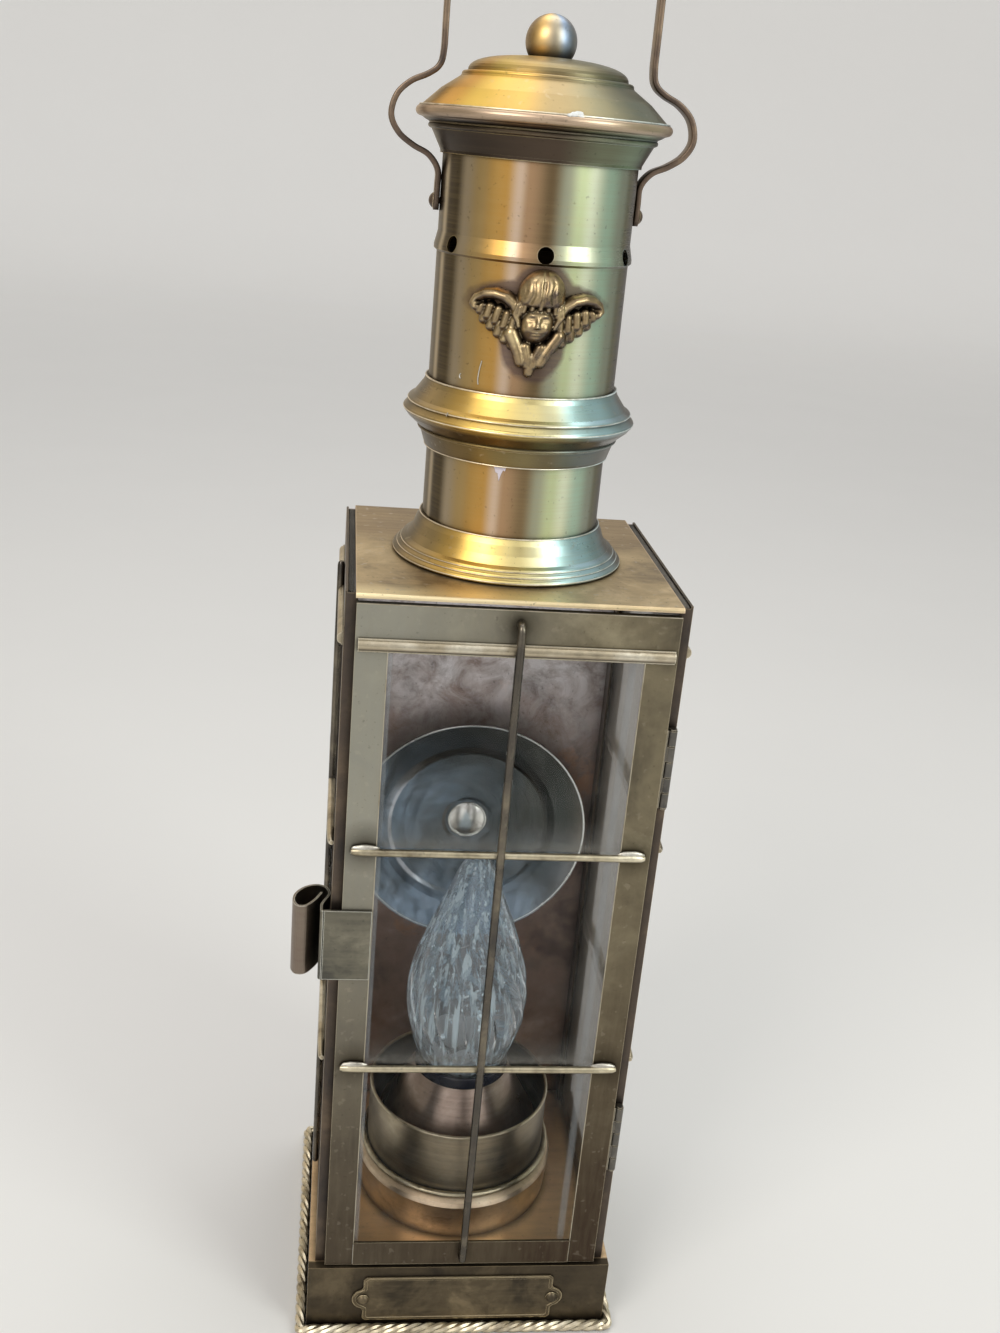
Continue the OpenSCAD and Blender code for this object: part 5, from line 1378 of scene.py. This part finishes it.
def pale(name, shade, lift=0.0):
    """Plain stage surface; lift whitens its far part for the camera alone."""
    s = Shader(name)
    grain = s.noise(6, 3, 0.5)
    rays = s.add("ShaderNodeLightPath")
    far = s.math("MULTIPLY", s.past(1, 2.2, 3.0), lift)
    s.set(emission_color=(1.0, 0.985, 0.955, 1), emission_strength=s.math("MULTIPLY", rays.outputs["Is Camera Ray"], far))
    s.set(base_color=s.mix(s.ramp(grain, [(0.3, 0.0), (0.7, 0.12)]), shade, darker(shade, 0.9)), roughness=0.85,
          specular_ior_level=0.1)
    return s.material


def make_floor():
    mesh = bpy.data.meshes.new("stage_floor")
    size, rise, bend, steps = 4.0, 3.0, 0.8, 10
    outline = [(-size, 0.0), (size - bend, 0.0)]
    for i in range(1, steps + 1):
        turn = math.pi / 2 * i / steps
        outline.append((size - bend + bend * math.sin(turn), bend - bend * math.cos(turn)))
    outline.append((size, rise))
    points = [(x, y, z) for y, z in outline for x in (-size, size)]
    faces = [(2 * i, 2 * i + 1, 2 * i + 3, 2 * i + 2) for i in range(len(outline) - 1)]
    mesh.from_pydata(points, [], faces)
    mesh.shade_smooth()
    floor = bpy.data.objects.new("stage_floor", mesh)
    bpy.context.scene.collection.objects.link(floor)
    mesh.materials.append(pale("stage_pale", (0.86, 0.85, 0.83), lift=0.2))


def make_flag(name, start, end, low, high, away, shade):
    """Dark curved card that only gloss sees, as a studio sets up beside polished metal."""
    steps = 12
    points = []
    for i in range(steps + 1):
        turn = math.radians(start + (end - start) * i / steps)
        for z in (low, high):
            points.append((away * math.sin(turn), -away * math.cos(turn), z))
    faces = [(2 * i, 2 * i + 2, 2 * i + 3, 2 * i + 1) for i in range(steps)]
    mesh = bpy.data.meshes.new(name)
    mesh.from_pydata(points, [], faces)
    mesh.materials.append(pale(name, shade))
    card = bpy.data.objects.new(name, mesh)
    bpy.context.scene.collection.objects.link(card)
    card.visible_camera = False
    card.visible_diffuse = False
    card.visible_shadow = False
    card.visible_transmission = False


def make_lamp(name, place, aim, size, power, shade=(1, 1, 1)):
    data = bpy.data.lights.new(name, "AREA")
    data.shape = "RECTANGLE"
    data.size, data.size_y = size
    data.energy = power
    data.color = shade
    lamp = bpy.data.objects.new(name, data)
    bpy.context.scene.collection.objects.link(lamp)
    lamp.location = place
    lamp.rotation_mode = "QUATERNION"
    lamp.rotation_quaternion = (Vector(aim) - Vector(place)).to_track_quat("-Z", "Y")


def make_world():
    world = bpy.data.worlds.new("studio")
    bpy.context.scene.world = world
    world.use_nodes = True
    tree = world.node_tree
    back = tree.nodes["Background"]
    rays = tree.nodes.new("ShaderNodeLightPath")
    seen = tree.nodes.new("ShaderNodeMath")
    seen.operation = "MAXIMUM"
    tree.links.new(rays.outputs["Is Camera Ray"], seen.inputs[0])
    tree.links.new(rays.outputs["Is Transmission Ray"], seen.inputs[1])
    both = tree.nodes.new("ShaderNodeMath")
    both.operation = "MAXIMUM"
    tree.links.new(seen.outputs[0], both.inputs[0])
    tree.links.new(rays.outputs["Is Glossy Ray"], both.inputs[1])
    strength = tree.nodes.new("ShaderNodeMix")
    tree.links.new(both.outputs[0], strength.inputs["Factor"])
    strength.inputs["A"].default_value = 0.5
    strength.inputs["B"].default_value = 0.85
    tree.links.new(strength.outputs["Result"], back.inputs["Strength"])
    back.inputs["Color"].default_value = (1.0, 0.995, 0.985, 1)


make_camera()
make_floor()
make_world()
make_flag("flag_back_left", -178, -124, 0.0, 1.6, 1.1, (0.80, 0.72, 0.60))
make_flag("flag_left", -124, -64, 0.0, 1.6, 1.1, (0.46, 0.44, 0.39))
make_flag("flag_front", 2, 14, 0.0, 1.6, 1.0, (0.08, 0.06, 0.045))
make_flag("flag_right", 62, 125, 0.0, 1.6, 1.1, (0.42, 0.45, 0.40))
make_flag("flag_back_right", 125, 178, 0.0, 1.6, 1.1, (0.48, 0.47, 0.46))
make_lamp("key_left", (-0.9, -1.0, 1.3), (0, 0, 0.25), (0.7, 0.9), 9, (1.0, 0.95, 0.88))
make_lamp("fill_right", (0.85, -0.85, 1.0), (0, 0, 0.25), (0.5, 1.0), 6, (0.95, 1.0, 0.95))
make_lamp("top", (0.1, 0.4, 1.7), (0, 0, 0.2), (1.0, 1.0), 6)

bpy.context.scene.view_settings.view_transform = "Standard"
